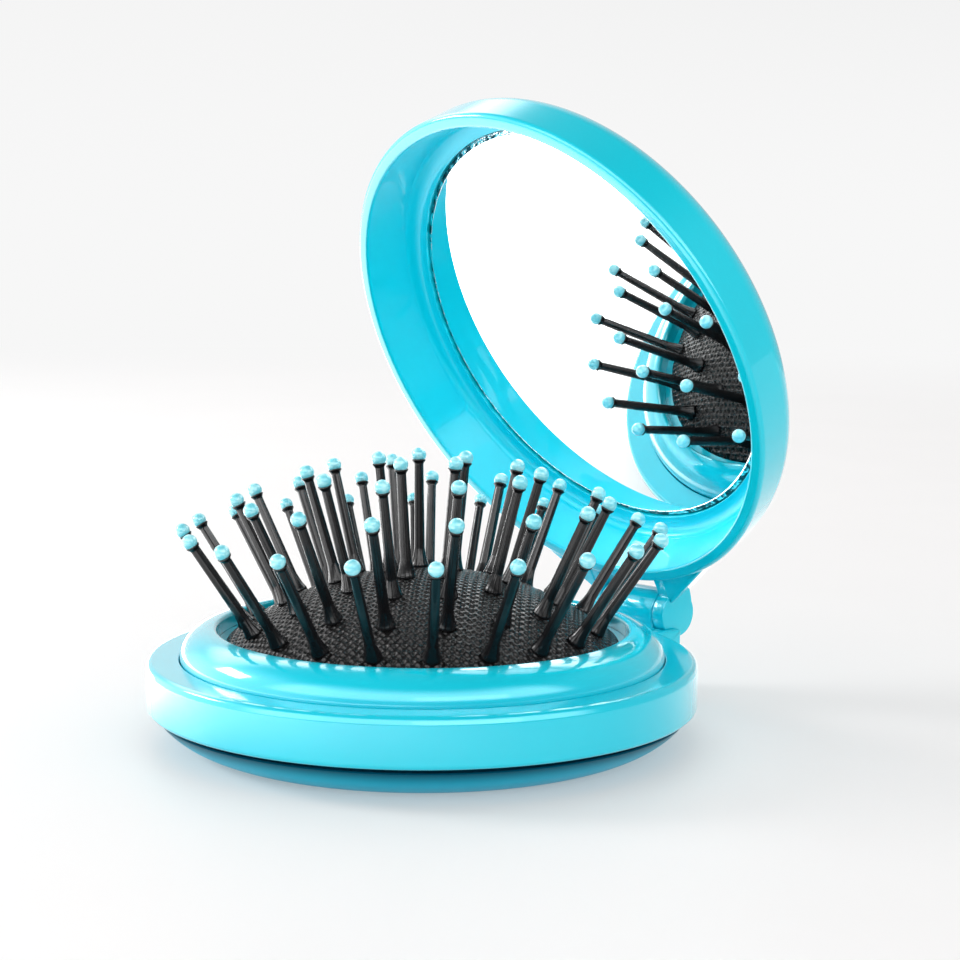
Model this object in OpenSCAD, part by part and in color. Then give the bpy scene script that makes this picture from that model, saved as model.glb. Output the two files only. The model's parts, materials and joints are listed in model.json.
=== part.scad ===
// Folding pocket hairbrush: a round two-shell case on a hinge, with a pin cushion that
// rises out of the lower half and a mirror in the lid. Millimetres, +Z up, origin at the
// centre of the foot's circle, hinge towards +Y. The lid is drawn at its standing angle.

/* [Case] */
// Outer radius of both halves of the case
case_r = 35; // [33:0.5:45]
// Height of the base's straight side band
band_h = 6.1; // [5.5:0.1:8]
// Wall of the base's side band
band_wall = 2; // [1.6:0.1:2.4]
// Height of the band's lower edge above the foot
foot_h = 4.4; // [4:0.1:6]
// Radius that rounds the lips where the halves meet
lip_round = 0.7; // [0.4:0.05:0.8]
// Gap between the two lips when the case is shut
lip_gap = 0.15; // [0.1:0.05:0.4]
// Width of the flat ledge between the base's lip and the bezel
ledge_w = 4.1; // [3.5:0.1:5.5]
// Thickness of the ledge
ledge_t = 1.4; // [1:0.1:2]

/* [Bezel] */
// Width of the bezel's rounded pillow, from its foot to the brush opening
bezel_w = 4.7; // [4:0.1:6]
// Height of the bezel's crest above the ledge
bezel_rise = 3.8; // [3.4:0.1:5]
// Thickness of the bezel over the guide sleeve
bezel_cover = 1.9; // [1.6:0.1:2.2]
// Radius that rounds the edge of the brush opening
opening_round = 0.5; // [0.3:0.05:0.6]
// Depth of the bezel's skirt below the ledge's top
skirt_h = 2.5; // [2:0.1:3.5]

/* [Bottom cover] */
// Wall of the guide sleeve that the push plate slides in
sleeve_wall = 2; // [1.6:0.1:2.2]
// Width of the ring that the brush stands on
foot_w = 1.1; // [0.9:0.1:1.6]
// Wall of the bowl between foot and band
bowl_wall = 1.3; // [1:0.1:1.8]
// Height of the spigot that holds the cover in the band
spigot_h = 1.5; // [1:0.1:2.5]
// Radial gap between the push plate and its sleeve
slide_gap = 0.25; // [0.2:0.05:0.35]

/* [Push plate] */
// Thickness of the plate that the thumb presses
web_t = 0.65; // [0.6:0.05:1]
// How far the bezel holds the plate back at the rim of the opening
plate_stop = 0.65; // [0.5:0.05:1]
// Number of keys that keep the plate from turning
key_count = 3; // [2:1:6]
// Width of each key
key_w = 3; // [2:0.5:5]
// Height of each key
key_h = 0.8; // [0.6:0.1:0.8]
// How far each key stands out of the plate
key_out = 1; // [0.8:0.1:1.1]

/* [Cushion] */
// Radial gap between the cushion's edge and the brush opening
cushion_gap = 1.25; // [1:0.05:2]
// Height of the dome over its own rim
dome_rise = 8.7; // [7:0.1:10]
// Thickness of the rubber
cushion_t = 0.9; // [0.8:0.05:1.1]
// Depth of the cushion's rim below the bezel's crest
rim_below = 1.7; // [1.6:0.1:2]
// Thickness of the flange under the clamp ring
flange_t = 0.35; // [0.3:0.05:0.4]

/* [Pins] */
// Number of pins in each ring, from the outer ring inwards
ring_count = [20, 15, 10, 5];
// Distance of the outer ring's roots from the cushion's edge
ring_margin = 2.55; // [2.3:0.05:4]
// How far each ring lies inside the outer ring
ring_in = [0, 5, 11.4, 18];
// Turn of each ring about the cushion's axis, in degrees
ring_turn = [-1.9, 16.7, 11.8, 1.9];
// Radius of a pin where it leaves its boot
shank_root_r = 0.67; // [0.6:0.01:0.9]
// Radius of a pin under its cup
shank_tip_r = 0.58; // [0.5:0.01:0.8]
// Radius of the ball at a pin's tip
ball_r = 0.95; // [0.85:0.01:1.2]
// Radius of a pin's boot on the cushion
boot_r = 1.3; // [1.25:0.05:1.8]
// Height of a pin's boot
boot_h = 2.4; // [1.6:0.1:4]
// Length of a pin from the cushion to the middle of its ball
pin_len = 14.4; // [12:0.1:15]
// Gap between the pin tips and the mirror when the case is shut
mirror_gap = 0.6; // [0.4:0.05:1.2]

/* [Lid] */
// Depth of the mirror's face below the lid's lip
dish_h = 8.3; // [7.8:0.05:9.5]
// Wall of the lid behind the mirror
crown_t = 0.9; // [0.7:0.1:2]
// Width of the lid's lip
lid_lip_w = 1.9; // [1.7:0.05:2.4]
// Distance of the mirror's edge from the lid's outer radius
mirror_margin = 5.8; // [5.4:0.1:7]
// Thickness of the mirror glass
mirror_t = 1; // [0.8:0.1:1.5]
// Thickness of the adhesive pad behind the mirror
pad_t = 0.3; // [0.2:0.05:0.5]
// Angle of the standing lid from its shut place
lid_open = 63.6; // [0:0.1:130]

/* [Hinge] */
// Distance of the hinge's axis outside the case
hinge_out = 5.25; // [4.8:0.05:6.5]
// Height of the hinge's axis over the base's lip
hinge_up = 1.3; // [0.9:0.05:1.8]
// Radius of the hinge's knuckles
knuckle_r = 3.2; // [2.6:0.1:3.6]
// Width of the base's middle knuckle
knuckle_w = 10; // [8:0.5:14]
// Width of each of the lid's ears
ear_w = 2; // [1.6:0.1:3]
// Gap round the ears, to the middle knuckle and to the boss that they dip into
ear_gap = 0.2; // [0.15:0.05:0.4]
// Thickness of the boss's cheeks outside the ears
cheek_w = 0.8; // [0.6:0.1:1.5]
// Radius of the hinge pin
hinge_pin_r = 0.75; // [0.6:0.05:1]
// Running clearance of the hinge pin in its bores
hinge_fit = 0.05; // [0.02:0.01:0.08]

/* [Hidden] */
$fn = 72;
RINGS = [0 : len(ring_count) - 1];
RING_NAMES = ["outer", "second", "third", "inner"];
function pin_name(ring, i) = str("pin_", RING_NAMES[ring], "_", i < 9 ? "0" : "", i + 1);
PIN_NODES = [for (ring = RINGS) for (i = [0 : ring_count[ring] - 1]) pin_name(ring, i)];

// small gaps between pieces that seat in each other, and at the push plate's stop
SEAT = 0.1;
STOP = 0.05;
ARC_STEPS = 8;

// radii of the base's pieces, from the case's outside inwards
band_in_r = case_r - band_wall;
ledge_in_r = case_r - ledge_w;
bezel_foot_r = ledge_in_r - SEAT;
opening_r = bezel_foot_r - bezel_w;
plate_r = opening_r + plate_stop;
tray_r = plate_r - 0.6;
sleeve_r = plate_r + slide_gap;
sleeve_out_r = sleeve_r + sleeve_wall;
foot_r = sleeve_r + foot_w;
cushion_r = opening_r - cushion_gap;

// heights of the base's pieces, with the brush raised
lip_z = foot_h + band_h;
crest_z = lip_z + bezel_rise;
bezel_under_z = crest_z - bezel_cover;
rim_z = crest_z - rim_below;
web_z = rim_z - cushion_t - SEAT;
plate_top_z = bezel_under_z - STOP;
clamp_z = web_z + flange_t;

// the cushion's dome is part of a sphere, and every pin stands square on it
dome_r = (cushion_r * cushion_r + dome_rise * dome_rise) / (2 * dome_rise);
dome_z = rim_z + dome_rise - dome_r;
function ring_r(ring) = cushion_r - ring_margin - ring_in[ring];
function ring_tilt(ring) = asin(ring_r(ring) / dome_r);
function pin_turn(ring, i) = ring_turn[ring] + i * 360 / ring_count[ring];

// put away, the dome is flat and the plate sits so low that the pins clear the mirror
lid_lip_z = lip_z + lip_gap;
stowed_rim_z = lid_lip_z + dish_h - mirror_gap - ball_r - pin_len;
plate_travel = rim_z - stowed_rim_z;
key_z = plate_top_z - key_h;
key_slot_z = key_z - plate_travel - SEAT;
pin_foot_r = shank_root_r + 0.33;
pin_foot_t = cushion_t - 0.15;
cup_h = 0.45;
cup_r = ball_r - 0.06;

// the lid's radii, and the hinge's axis
lid_h = dish_h + mirror_t + pad_t + crown_t;
mirror_r = case_r - mirror_margin;
pocket_r = mirror_r + 2 * SEAT;
mirror_sunk = 0.15;
lid_in_r = case_r - lid_lip_w;
hinge_y = case_r + hinge_out;
hinge_z = lip_z + hinge_up;
boss_in = case_r - band_wall * 0.75;
boss_foot = foot_h + 0.7;
boss_top = lip_z - 0.6;
hinge_bore_r = hinge_pin_r + hinge_fit;
ear_x = knuckle_w / 2 + ear_gap;
ear_out_x = ear_x + ear_w;
pin_end_x = ear_x + 0.65 * ear_w;

shell_colour = [0.10, 0.74, 0.84];
rubber_colour = [0.07, 0.07, 0.08];
pin_colour = [0.03, 0.03, 0.03];

// points of an arc round [cx, cz], from angle a0 to a1, with half axes rx and rz
function arc(cx, cz, rx, rz, a0, a1, steps = ARC_STEPS) =
    [for (k = [0 : steps]) let (a = a0 + (a1 - a0) * k / steps) [cx + rx * cos(a), cz + rz * sin(a)]];

// points of a curve that leaves p0 towards p1 and arrives at p2
function bend(p0, p1, p2, steps = ARC_STEPS) =
    [for (k = [0 : steps]) let (t = k / steps, u = 1 - t) u * u * p0 + 2 * t * u * p1 + t * t * p2];

module turned(points) {
    rotate_extrude() polygon(points);
}

// a flat plate with its outline in the YZ plane, from x0 to x1
module side_plate(x0, x1, points) {
    translate([x0, 0, 0]) rotate([90, 0, 90]) linear_extrude(x1 - x0) polygon(points);
}

module along_x(r, x0, x1) {
    translate([x0, hinge_y, hinge_z]) rotate([0, 90, 0]) cylinder(r = r, h = x1 - x0);
}

// side band, lip and ledge, with the hinge's middle knuckle behind
module base_shell() {
    edge = 0.5;
    shell = concat(
        [[band_in_r, foot_h], [case_r - edge, foot_h]],
        arc(case_r - edge, foot_h + edge, edge, edge, -90, 0, 4),
        arc(case_r - lip_round, lip_z - lip_round, lip_round, lip_round, 0, 90),
        [[ledge_in_r, lip_z], [ledge_in_r, lip_z - ledge_t], [band_in_r, lip_z - ledge_t]]);
    color(shell_colour) difference() {
        union() {
            turned(shell);
            along_x(knuckle_r, -knuckle_w / 2, knuckle_w / 2);
            hinge_lug();
            hinge_boss();
        }
        along_x(hinge_bore_r, -knuckle_w, knuckle_w);
    }
}

// carries the middle knuckle on the side band
module hinge_lug() {
    front = hinge_y - knuckle_r * 0.9;
    back = hinge_y + knuckle_r * 0.9;
    corner = 0.6;
    side_plate(-knuckle_w / 2, knuckle_w / 2, [
        [boss_in, boss_foot], [back - corner, boss_foot], [back, boss_foot + corner],
        [back, hinge_z], [front, hinge_z], [front, boss_top], [boss_in, boss_top]]);
}

// wide boss behind the band, hollowed for the lid's ears
module hinge_boss() {
    half = ear_out_x + ear_gap + cheek_w;
    depth = hinge_y - 0.4 - boss_in;
    difference() {
        translate([-half, boss_in, boss_foot]) cube([2 * half, depth, boss_top - boss_foot]);
        for (side = [0, 1]) mirror([side, 0, 0])
            along_x(knuckle_r + ear_gap, knuckle_w / 2, ear_out_x + ear_gap);
    }
}

// bowl under the base, with the foot and the sleeve that guides the push plate
module bottom_cover() {
    rim_r = case_r - 1.2;
    rim_edge = 0.15;
    belly_r = rim_r - 2.2;
    belly_z = foot_h * 0.2;
    spigot_r = band_in_r - SEAT;
    spigot_in_r = spigot_r - bowl_wall;
    spigot_z = foot_h + spigot_h;
    outline = concat(
        [[sleeve_r, 0]],
        bend([foot_r, 0], [belly_r, belly_z], [rim_r, foot_h - rim_edge]),
        [[rim_r, foot_h], [spigot_r, foot_h], [spigot_r, spigot_z], [spigot_in_r, spigot_z]],
        bend([spigot_in_r, foot_h], [belly_r - bowl_wall / 2, belly_z + bowl_wall], [sleeve_out_r, bowl_wall]),
        [[sleeve_out_r, bezel_under_z], [sleeve_r, bezel_under_z]]);
    color(shell_colour) difference() {
        turned(outline);
        for (k = [1 : key_count]) rotate([0, 0, k * 360 / key_count])
            translate([sleeve_r - 1, -key_w / 2 - SEAT, key_slot_z])
                cube([1 + key_out - slide_gap + 2 * SEAT, key_w + 2 * SEAT, crest_z]);
    }
}

// pillow-shaped ring round the brush opening
module bezel_ring() {
    pillow_r = opening_r + opening_round;
    color(shell_colour) turned(concat(
        [[bezel_foot_r, lip_z - skirt_h]],
        arc(pillow_r, lip_z, bezel_foot_r - pillow_r, bezel_rise, 0, 90, 14),
        arc(pillow_r, crest_z - opening_round, opening_round, opening_round, 90, 180, 5),
        [[opening_r, bezel_under_z], [sleeve_out_r + SEAT, bezel_under_z],
         [sleeve_out_r + SEAT, lip_z - skirt_h]]));
}

// thumb plate that carries the cushion up and down in the sleeve
module push_plate() {
    color(shell_colour) union() {
        translate([0, 0, web_z - web_t]) cylinder(r = plate_r, h = web_t);
        difference() {
            translate([0, 0, web_z - web_t]) cylinder(r = plate_r, h = plate_top_z - web_z + web_t);
            translate([0, 0, web_z - 2 * web_t]) cylinder(r = tray_r, h = crest_z);
        }
        for (k = [1 : key_count]) rotate([0, 0, k * 360 / key_count])
            translate([plate_r - 0.3, -key_w / 2, key_z]) cube([0.3 + key_out, key_w, key_h]);
    }
}

// ring that holds the cushion's flange down on the plate
module cushion_clamp() {
    color(shell_colour) difference() {
        translate([0, 0, clamp_z]) cylinder(r = tray_r - STOP, h = plate_top_z - clamp_z);
        translate([0, 0, web_z]) cylinder(r = cushion_r + SEAT, h = crest_z);
    }
}

// domed rubber sheet, pierced for the pins
module cushion() {
    color(rubber_colour) difference() {
        union() {
            intersection() {
                translate([0, 0, dome_z]) sphere(r = dome_r, $fn = 120);
                translate([0, 0, web_z]) cylinder(r = cushion_r, h = dome_rise * 2);
            }
            translate([0, 0, web_z]) cylinder(r = tray_r - SEAT, h = flange_t);
        }
        translate([0, 0, dome_z]) sphere(r = dome_r - cushion_t, $fn = 120);
        for (ring = RINGS) for (i = [0 : ring_count[ring] - 1]) on_dome(ring, i)
            translate([0, 0, -2 * cushion_t]) cylinder(r = pin_foot_r + SEAT, h = 4 * cushion_t);
    }
}

// carries a shape to a pin's root, with +Z square to the dome there
module on_dome(ring, i) {
    rotate([0, 0, pin_turn(ring, i)]) translate([0, 0, dome_z]) rotate([0, ring_tilt(ring), 0])
        translate([0, 0, dome_r]) children();
}

// foot in the rubber, flared boot, tapering shank, cup and ball
module brush_pin(ring, i) {
    boot_z = 0.08;
    cup_z = pin_len - ball_r * 0.7 - cup_h;
    color(pin_colour) on_dome(ring, i) union() {
        translate([0, 0, -pin_foot_t]) cylinder(r = pin_foot_r, h = pin_foot_t + boot_z);
        translate([0, 0, boot_z]) cylinder(r1 = boot_r, r2 = shank_root_r + 0.1, h = boot_h);
        cylinder(r1 = shank_root_r, r2 = shank_tip_r, h = pin_len - ball_r);
        translate([0, 0, cup_z]) cylinder(r1 = shank_tip_r - 0.02, r2 = cup_r, h = cup_h);
        translate([0, 0, pin_len]) sphere(r = ball_r);
    }
}

// axle that joins the base's knuckle and the lid's ears, put in from the -X side
module hinge_pin() {
    color("silver") along_x(hinge_pin_r, SEAT - ear_out_x, pin_end_x);
}

// everything in the lid is drawn shut and then swung up about the hinge
module swung() {
    axis = [0, hinge_y, hinge_z];
    translate(axis) rotate([-lid_open, 0, 0]) translate(-axis) children();
}

module lid_shell() {
    shoulder_z = lid_lip_z + lid_h * 0.47;
    shoulder_r = case_r - 0.25;
    crown_r = case_r - 7.5;
    crown_z = lid_lip_z + lid_h - 0.5;
    inner_round = 0.5;
    fillet = 1.7;
    pocket_z = lid_lip_z + dish_h + mirror_t + pad_t;
    floor_z = lid_lip_z + dish_h - mirror_sunk;
    wall_foot_r = lid_in_r - 0.95;
    outline = concat(
        [[0, pocket_z], [pocket_r, pocket_z], [pocket_r, floor_z]],
        arc(wall_foot_r - fillet, floor_z - fillet, fillet, fillet, 90, 0),
        arc(lid_in_r + inner_round, lid_lip_z + inner_round, inner_round, inner_round, 180, 270, 4),
        arc(case_r - lip_round, lid_lip_z + lip_round, lip_round, lip_round, -90, 0),
        arc(crown_r, shoulder_z, shoulder_r - crown_r, crown_z - shoulder_z, 0, 90, 12),
        [[0, lid_lip_z + lid_h]]);
    wall_y = case_r - 1.2;
    ear = [
        [wall_y, lid_lip_z + 0.5], [hinge_y - knuckle_r, hinge_z - 0.5], [hinge_y, hinge_z],
        [hinge_y, hinge_z + knuckle_r], [hinge_y - 1.2, hinge_z + knuckle_r + 0.3],
        [wall_y, hinge_z + knuckle_r + 0.9]];
    color(shell_colour) swung() difference() {
        union() {
            turned(outline);
            for (side = [0, 1]) mirror([side, 0, 0]) {
                side_plate(ear_x, ear_out_x, ear);
                along_x(knuckle_r, ear_x, ear_out_x);
            }
        }
        along_x(hinge_bore_r, -ear_out_x - SEAT, pin_end_x + SEAT);
    }
}

module mirror_glass() {
    bevel_w = 0.6;
    bevel_t = 0.3;
    face_z = lid_lip_z + dish_h;
    color([0.86, 0.9, 0.92]) swung() union() {
        translate([0, 0, face_z]) cylinder(r1 = mirror_r - bevel_w, r2 = mirror_r, h = bevel_t);
        translate([0, 0, face_z + bevel_t]) cylinder(r = mirror_r, h = mirror_t - bevel_t);
    }
}

module mirror_pad() {
    color("white") swung() translate([0, 0, lid_lip_z + dish_h + mirror_t])
        cylinder(r = mirror_r - 2, h = pad_t);
}

base_shell();
bottom_cover();
bezel_ring();
push_plate();
cushion_clamp();
cushion();
hinge_pin();
lid_shell();
mirror_glass();  // mirror
mirror_pad();
for (ring = RINGS) for (i = [0 : ring_count[ring] - 1])
    brush_pin(ring, i);
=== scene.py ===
"""Surfaces, finishes and studio of a folding pocket hairbrush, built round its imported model.

The brush is a round two-shell case on a hinge. The base holds a domed rubber cushion with fifty
pins, and the lid holds a round mirror. The brush's lengths are in millimetres until a mesh is
made, the studio's are in metres, and angles are in degrees where a name says so.
"""

import json
import logging
import math
from dataclasses import dataclass
from enum import Enum

import bpy
import numpy as np
from mathutils import Matrix, Vector


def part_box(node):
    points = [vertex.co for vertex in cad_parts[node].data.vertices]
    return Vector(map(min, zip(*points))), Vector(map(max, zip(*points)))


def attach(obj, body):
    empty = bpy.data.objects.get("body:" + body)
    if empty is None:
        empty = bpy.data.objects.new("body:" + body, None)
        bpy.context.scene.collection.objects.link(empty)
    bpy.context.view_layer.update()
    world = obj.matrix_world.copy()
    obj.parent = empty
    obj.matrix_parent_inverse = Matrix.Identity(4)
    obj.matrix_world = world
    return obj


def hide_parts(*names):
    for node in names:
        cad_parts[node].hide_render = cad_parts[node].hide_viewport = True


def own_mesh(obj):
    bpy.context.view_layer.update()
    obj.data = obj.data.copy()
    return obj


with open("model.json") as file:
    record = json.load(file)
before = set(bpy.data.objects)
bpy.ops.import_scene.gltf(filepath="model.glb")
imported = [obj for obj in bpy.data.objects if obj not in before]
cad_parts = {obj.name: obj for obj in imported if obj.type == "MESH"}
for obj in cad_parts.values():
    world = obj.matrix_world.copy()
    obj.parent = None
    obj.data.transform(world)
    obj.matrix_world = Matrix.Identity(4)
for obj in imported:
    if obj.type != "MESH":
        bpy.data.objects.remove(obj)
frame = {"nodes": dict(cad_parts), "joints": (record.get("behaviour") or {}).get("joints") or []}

Array = np.ndarray
Point = tuple[float, float]
Place = tuple[float, float, float]
Colour = tuple[float, float, float]

MM = 0.001  # a millimetre in metres
CREASE_DEG = 35.0  # edges that fold more than this stay sharp
CASE_R = 35.0  # outer radius of both halves of the case
WHITE = (1.0, 1.0, 1.0)
log = logging.getLogger("hairbrush")


class Slot(Enum):
    """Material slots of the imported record."""

    SHELL = "shell"
    CUSHION = "cushion"
    PIN = "pin"
    PIN_TIP = "pin_tip"
    MIRROR = "mirror"
    PAD = "pad"
    HINGE_PIN = "hinge_pin"


class Join(Enum):
    """Ways in which one closed solid acts on another."""

    ADD = "UNION"
    CUT = "DIFFERENCE"


# ---------------------------------------------------------------- shader expressions


def opaque(colour: Colour) -> tuple[float, float, float, float]:
    """The colour with an alpha of 1, as a colour socket takes it."""
    return (*colour, 1.0)


class Graph:
    """Adds nodes to one node tree, so that its shader reads as Python expressions."""

    def __init__(self, tree: bpy.types.NodeTree) -> None:
        """Starts the tree of a material or of the world anew."""
        self.tree = tree
        tree.nodes.clear()

    def node(self, kind: str, settings: dict | None = None, inputs: dict | None = None,
             output: int | str = 0) -> "Signal":
        """Adds one node.

        Args:
            kind: the node's type.
            settings: the node's properties by name.
            inputs: values or signals by socket name or number.
            output: the socket that the result stands for.

        Returns:
            The chosen output as a signal.
        """
        made = self.tree.nodes.new(kind)
        for name, value in (settings or {}).items():
            setattr(made, name, value)
        for name, value in (inputs or {}).items():
            if isinstance(value, Signal):
                self.tree.links.new(value.socket, made.inputs[name])
            else:
                made.inputs[name].default_value = value
        return Signal(self, made.outputs[output] if made.outputs else None)

    def siblings(self, signal: "Signal", *outputs: int | str) -> "tuple[Signal, ...]":
        """The given outputs of the node that a signal comes from."""
        return tuple(Signal(self, signal.socket.node.outputs[output]) for output in outputs)

    def math(self, operation: str, *values: "Signal | float") -> "Signal":
        """One Math node on up to three values."""
        return self.node("ShaderNodeMath", {"operation": operation}, dict(enumerate(values)))

    def place(self) -> "Signal":
        """The point that is shaded, in the object's coordinates, in metres."""
        return self.node("ShaderNodeTexCoord", output="Object")

    def attribute(self, name: str) -> "Signal":
        """The number that the mesh holds under a name, or 0 where it holds none."""
        return self.node("ShaderNodeAttribute", {"attribute_name": name}, output="Fac")

    def split(self, vector: "Signal") -> "tuple[Signal, ...]":
        """The three parts of a vector."""
        return self.siblings(self.node("ShaderNodeSeparateXYZ", inputs={0: vector}), 0, 1, 2)

    def noise(self, vector: "Signal", per_mm: float, detail: float = 2.0,
              roughness: float = 0.5) -> "Signal":
        """Cloudy noise about 0.5.

        Args:
            vector: where the noise is read.
            per_mm: number of clouds to a millimetre.
            detail: number of finer layers.
            roughness: weight of each finer layer against the one before.

        Returns:
            The noise, from 0 to 1.
        """
        return self.node("ShaderNodeTexNoise", {"noise_dimensions": "3D"},
                         {"Vector": vector, "Scale": per_mm / MM, "Detail": detail,
                          "Roughness": roughness}, "Fac")

    def stretched(self, vector: "Signal", scale: Place, turn: Place = (0, 0, 0)) -> "Signal":
        """The vector turned and stretched, so that noise on it runs in streaks."""
        return self.node("ShaderNodeMapping", None,
                         {"Vector": vector, "Rotation": turn, "Scale": scale})

    def ramp(self, value: "Signal", low: float, high: float) -> "Signal":
        """0 below low and 1 above high, with a smooth step between."""
        return self.node("ShaderNodeMapRange", {"interpolation_type": "SMOOTHSTEP"},
                         {"Value": value, "From Min": low, "From Max": high})

    def belt(self, value: "Signal", rise: Point, fall: Point) -> "Signal":
        """1 between the two ranges, with a smooth rise over the first and fall over the second."""
        return self.ramp(value, *rise) * (1 - self.ramp(value, *fall))

    def mix(self, share: "Signal | float", *colours: "Colour | Signal") -> "Signal":
        """The first of two colours where share is 0, and the second where it is 1."""
        first, second = (part if isinstance(part, Signal) else opaque(part) for part in colours)
        return self.node("ShaderNodeMix", {"data_type": "RGBA"}, {0: share, 6: first, 7: second}, 2)

    def bump(self, height: "Signal", depth: float) -> "Signal":
        """A normal for a relief of height 0 to 1 that is depth millimetres deep."""
        return self.node("ShaderNodeBump", None, {"Height": height, "Distance": depth * MM}, "Normal")

    def emission(self, strength: "Signal | float") -> "Signal":
        """A shader that shines white."""
        return self.node("ShaderNodeEmission", None, {"Color": opaque(WHITE), "Strength": strength})


class Signal:
    """A node's output that takes part in expressions, each adding its Math node."""

    def __init__(self, graph: Graph, socket: bpy.types.NodeSocket | None) -> None:
        """Wraps a socket of the graph."""
        self.graph = graph
        self.socket = socket

    def __add__(self, other: "Signal | float") -> "Signal":
        """Sum."""
        return self.graph.math("ADD", self, other)

    __radd__ = __add__

    def __sub__(self, other: "Signal | float") -> "Signal":
        """Difference."""
        return self.graph.math("SUBTRACT", self, other)

    def __rsub__(self, other: "Signal | float") -> "Signal":
        """Difference from a number."""
        return self.graph.math("SUBTRACT", other, self)

    def __mul__(self, other: "Signal | float") -> "Signal":
        """Product."""
        return self.graph.math("MULTIPLY", self, other)

    __rmul__ = __mul__

    def __pow__(self, other: float) -> "Signal":
        """Power."""
        return self.graph.math("POWER", self, other)

    def sin(self) -> "Signal":
        """Sine of an angle in radians."""
        return self.graph.math("SINE", self)

    def cos(self) -> "Signal":
        """Cosine of an angle in radians."""
        return self.graph.math("COSINE", self)


# ---------------------------------------------------------------- finishes


@dataclass(frozen=True)
class Finish:
    """A finish that is the same wherever it is used.

    Attributes:
        name: the material's name.
        colour: the main colour, linear.
        roughness: the roughness of clean, smooth places.
    """

    name: str
    colour: Colour
    roughness: float

    def material(self) -> bpy.types.Material:
        """Makes the Blender material the first time it is asked for.

        Returns:
            The material of the finish's name.
        """
        found = bpy.data.materials.get(self.name)
        if found:
            return found
        made = bpy.data.materials.new(self.name)
        made.use_nodes = True
        graph = Graph(made.node_tree)
        shader = self.dress(graph)
        graph.node("ShaderNodeOutputMaterial", None, {"Surface": shader})
        return made

    def dress(self, graph: Graph) -> Signal:
        """Adds the finish's nodes to the graph and returns its shader."""
        raise NotImplementedError

    def principled(self, graph: Graph, **inputs: object) -> Signal:
        """A Principled shader with the given sockets, written with _ for each space."""
        named = {name.replace("_", " "): value for name, value in inputs.items()}
        return graph.node("ShaderNodeBsdfPrincipled", None, named)


@dataclass(frozen=True)
class GlossyShell(Finish):
    """Glossy moulded plastic with faint ripples, flow clouds and hairline scratches, and painted light on
    its inner walls.

    Attributes:
        INSIDE: name of the mesh attribute that is 1 on the inner walls.
        deep: the colour where the pigment lies thicker.
        inside: brighter colour of the inner walls: painted light for the glow in the lid's dish.
        gleam: tint of what the plastic itself mirrors.
        coat: weight of the polished skin, which mirrors white.
        bare: share of the polished skin that the inner walls lack.
        shine: how strongly the plastic itself mirrors.
        haze: roughness that the haze adds.
        scratch: roughness that a hairline scratch adds.
        matt: roughness that the inner walls add.
        ripple: depth of the moulding's ripple, in millimetres.
    """

    INSIDE = "inside"

    deep: Colour = (0.002, 0.53, 0.67)
    inside: Colour = (0.0, 0.63, 0.8)
    gleam: Colour = (0.1, 0.8, 1.0)
    coat: float = 0.8
    bare: float = 0.65
    shine: float = 0.5
    haze: float = 0.1
    scratch: float = 0.03
    matt: float = 0.2
    ripple: float = 0.004

    def dress(self, graph: Graph) -> Signal:
        """Roughens the gloss along hairline scratches and lets the surface ripple.

        Args:
            graph: the graph that the nodes are added to.

        Returns:
            The finish's shader.
        """
        place, inner = graph.place(), graph.attribute(self.INSIDE)
        clouds = graph.ramp(graph.noise(place, per_mm=0.05, detail=3.0), 0.3, 0.75)
        colour = self.shade(graph, place, inner, graph.mix(clouds, self.colour, self.deep))
        grain = graph.stretched(place, scale=(1, 30, 3), turn=(0.3, 0.2, 0.7))
        hairlines = graph.ramp(graph.noise(grain, per_mm=0.1), 0.62, 0.7)
        haze = graph.noise(place, per_mm=0.4, detail=4.0, roughness=0.6)
        roughness = self.roughness + self.haze * haze + self.scratch * hairlines + self.matt * inner
        ripples = graph.noise(place, per_mm=0.16, detail=1.0)
        specks = graph.ramp(graph.noise(place, per_mm=2.6, detail=1.0), 0.7, 0.95)
        coat = self.coat * (1 - self.bare * inner) if self.coat else 0.0
        return self.principled(graph, Base_Color=colour, Roughness=roughness, IOR=1.5,
                               Specular_IOR_Level=self.shine, Specular_Tint=opaque(self.gleam),
                               Coat_Weight=coat, Coat_Roughness=0.03,
                               Normal=graph.bump(ripples + 0.1 * specks, self.ripple))

    def shade(self, graph: Graph, place: Signal, inner: Signal, clouded: Signal) -> Signal:
        """The clouded pigment, with painted light on the inner walls, which are brighter and purer."""
        # Painted light: the inner walls take the brighter colour.
        return graph.mix(inner, clouded, self.inside)


@dataclass(frozen=True)
class SeamShadedShell(GlossyShell):
    """The same plastic with painted shade, darker towards the seam under the band's overhang.

    Attributes:
        seam: colour of the painted shade at the seam, where the band overhangs the cover.
        seam_z: height of the seam in millimetres.
        seam_w: how far below the seam the painted shade has cleared.
    """

    seam: Colour = (0.0, 0.03, 0.06)
    seam_z: float = 4.2
    seam_w: float = 2.6

    def shade(self, graph: Graph, place: Signal, inner: Signal, clouded: Signal) -> Signal:
        """The clouded pigment with painted shade, darker towards the seam."""
        # Painted shade under the band: the colour darkens towards the seam.
        near = graph.ramp(graph.split(place)[2], (self.seam_z - self.seam_w) * MM, self.seam_z * MM)
        return graph.mix(near, clouded, self.seam)


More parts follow.
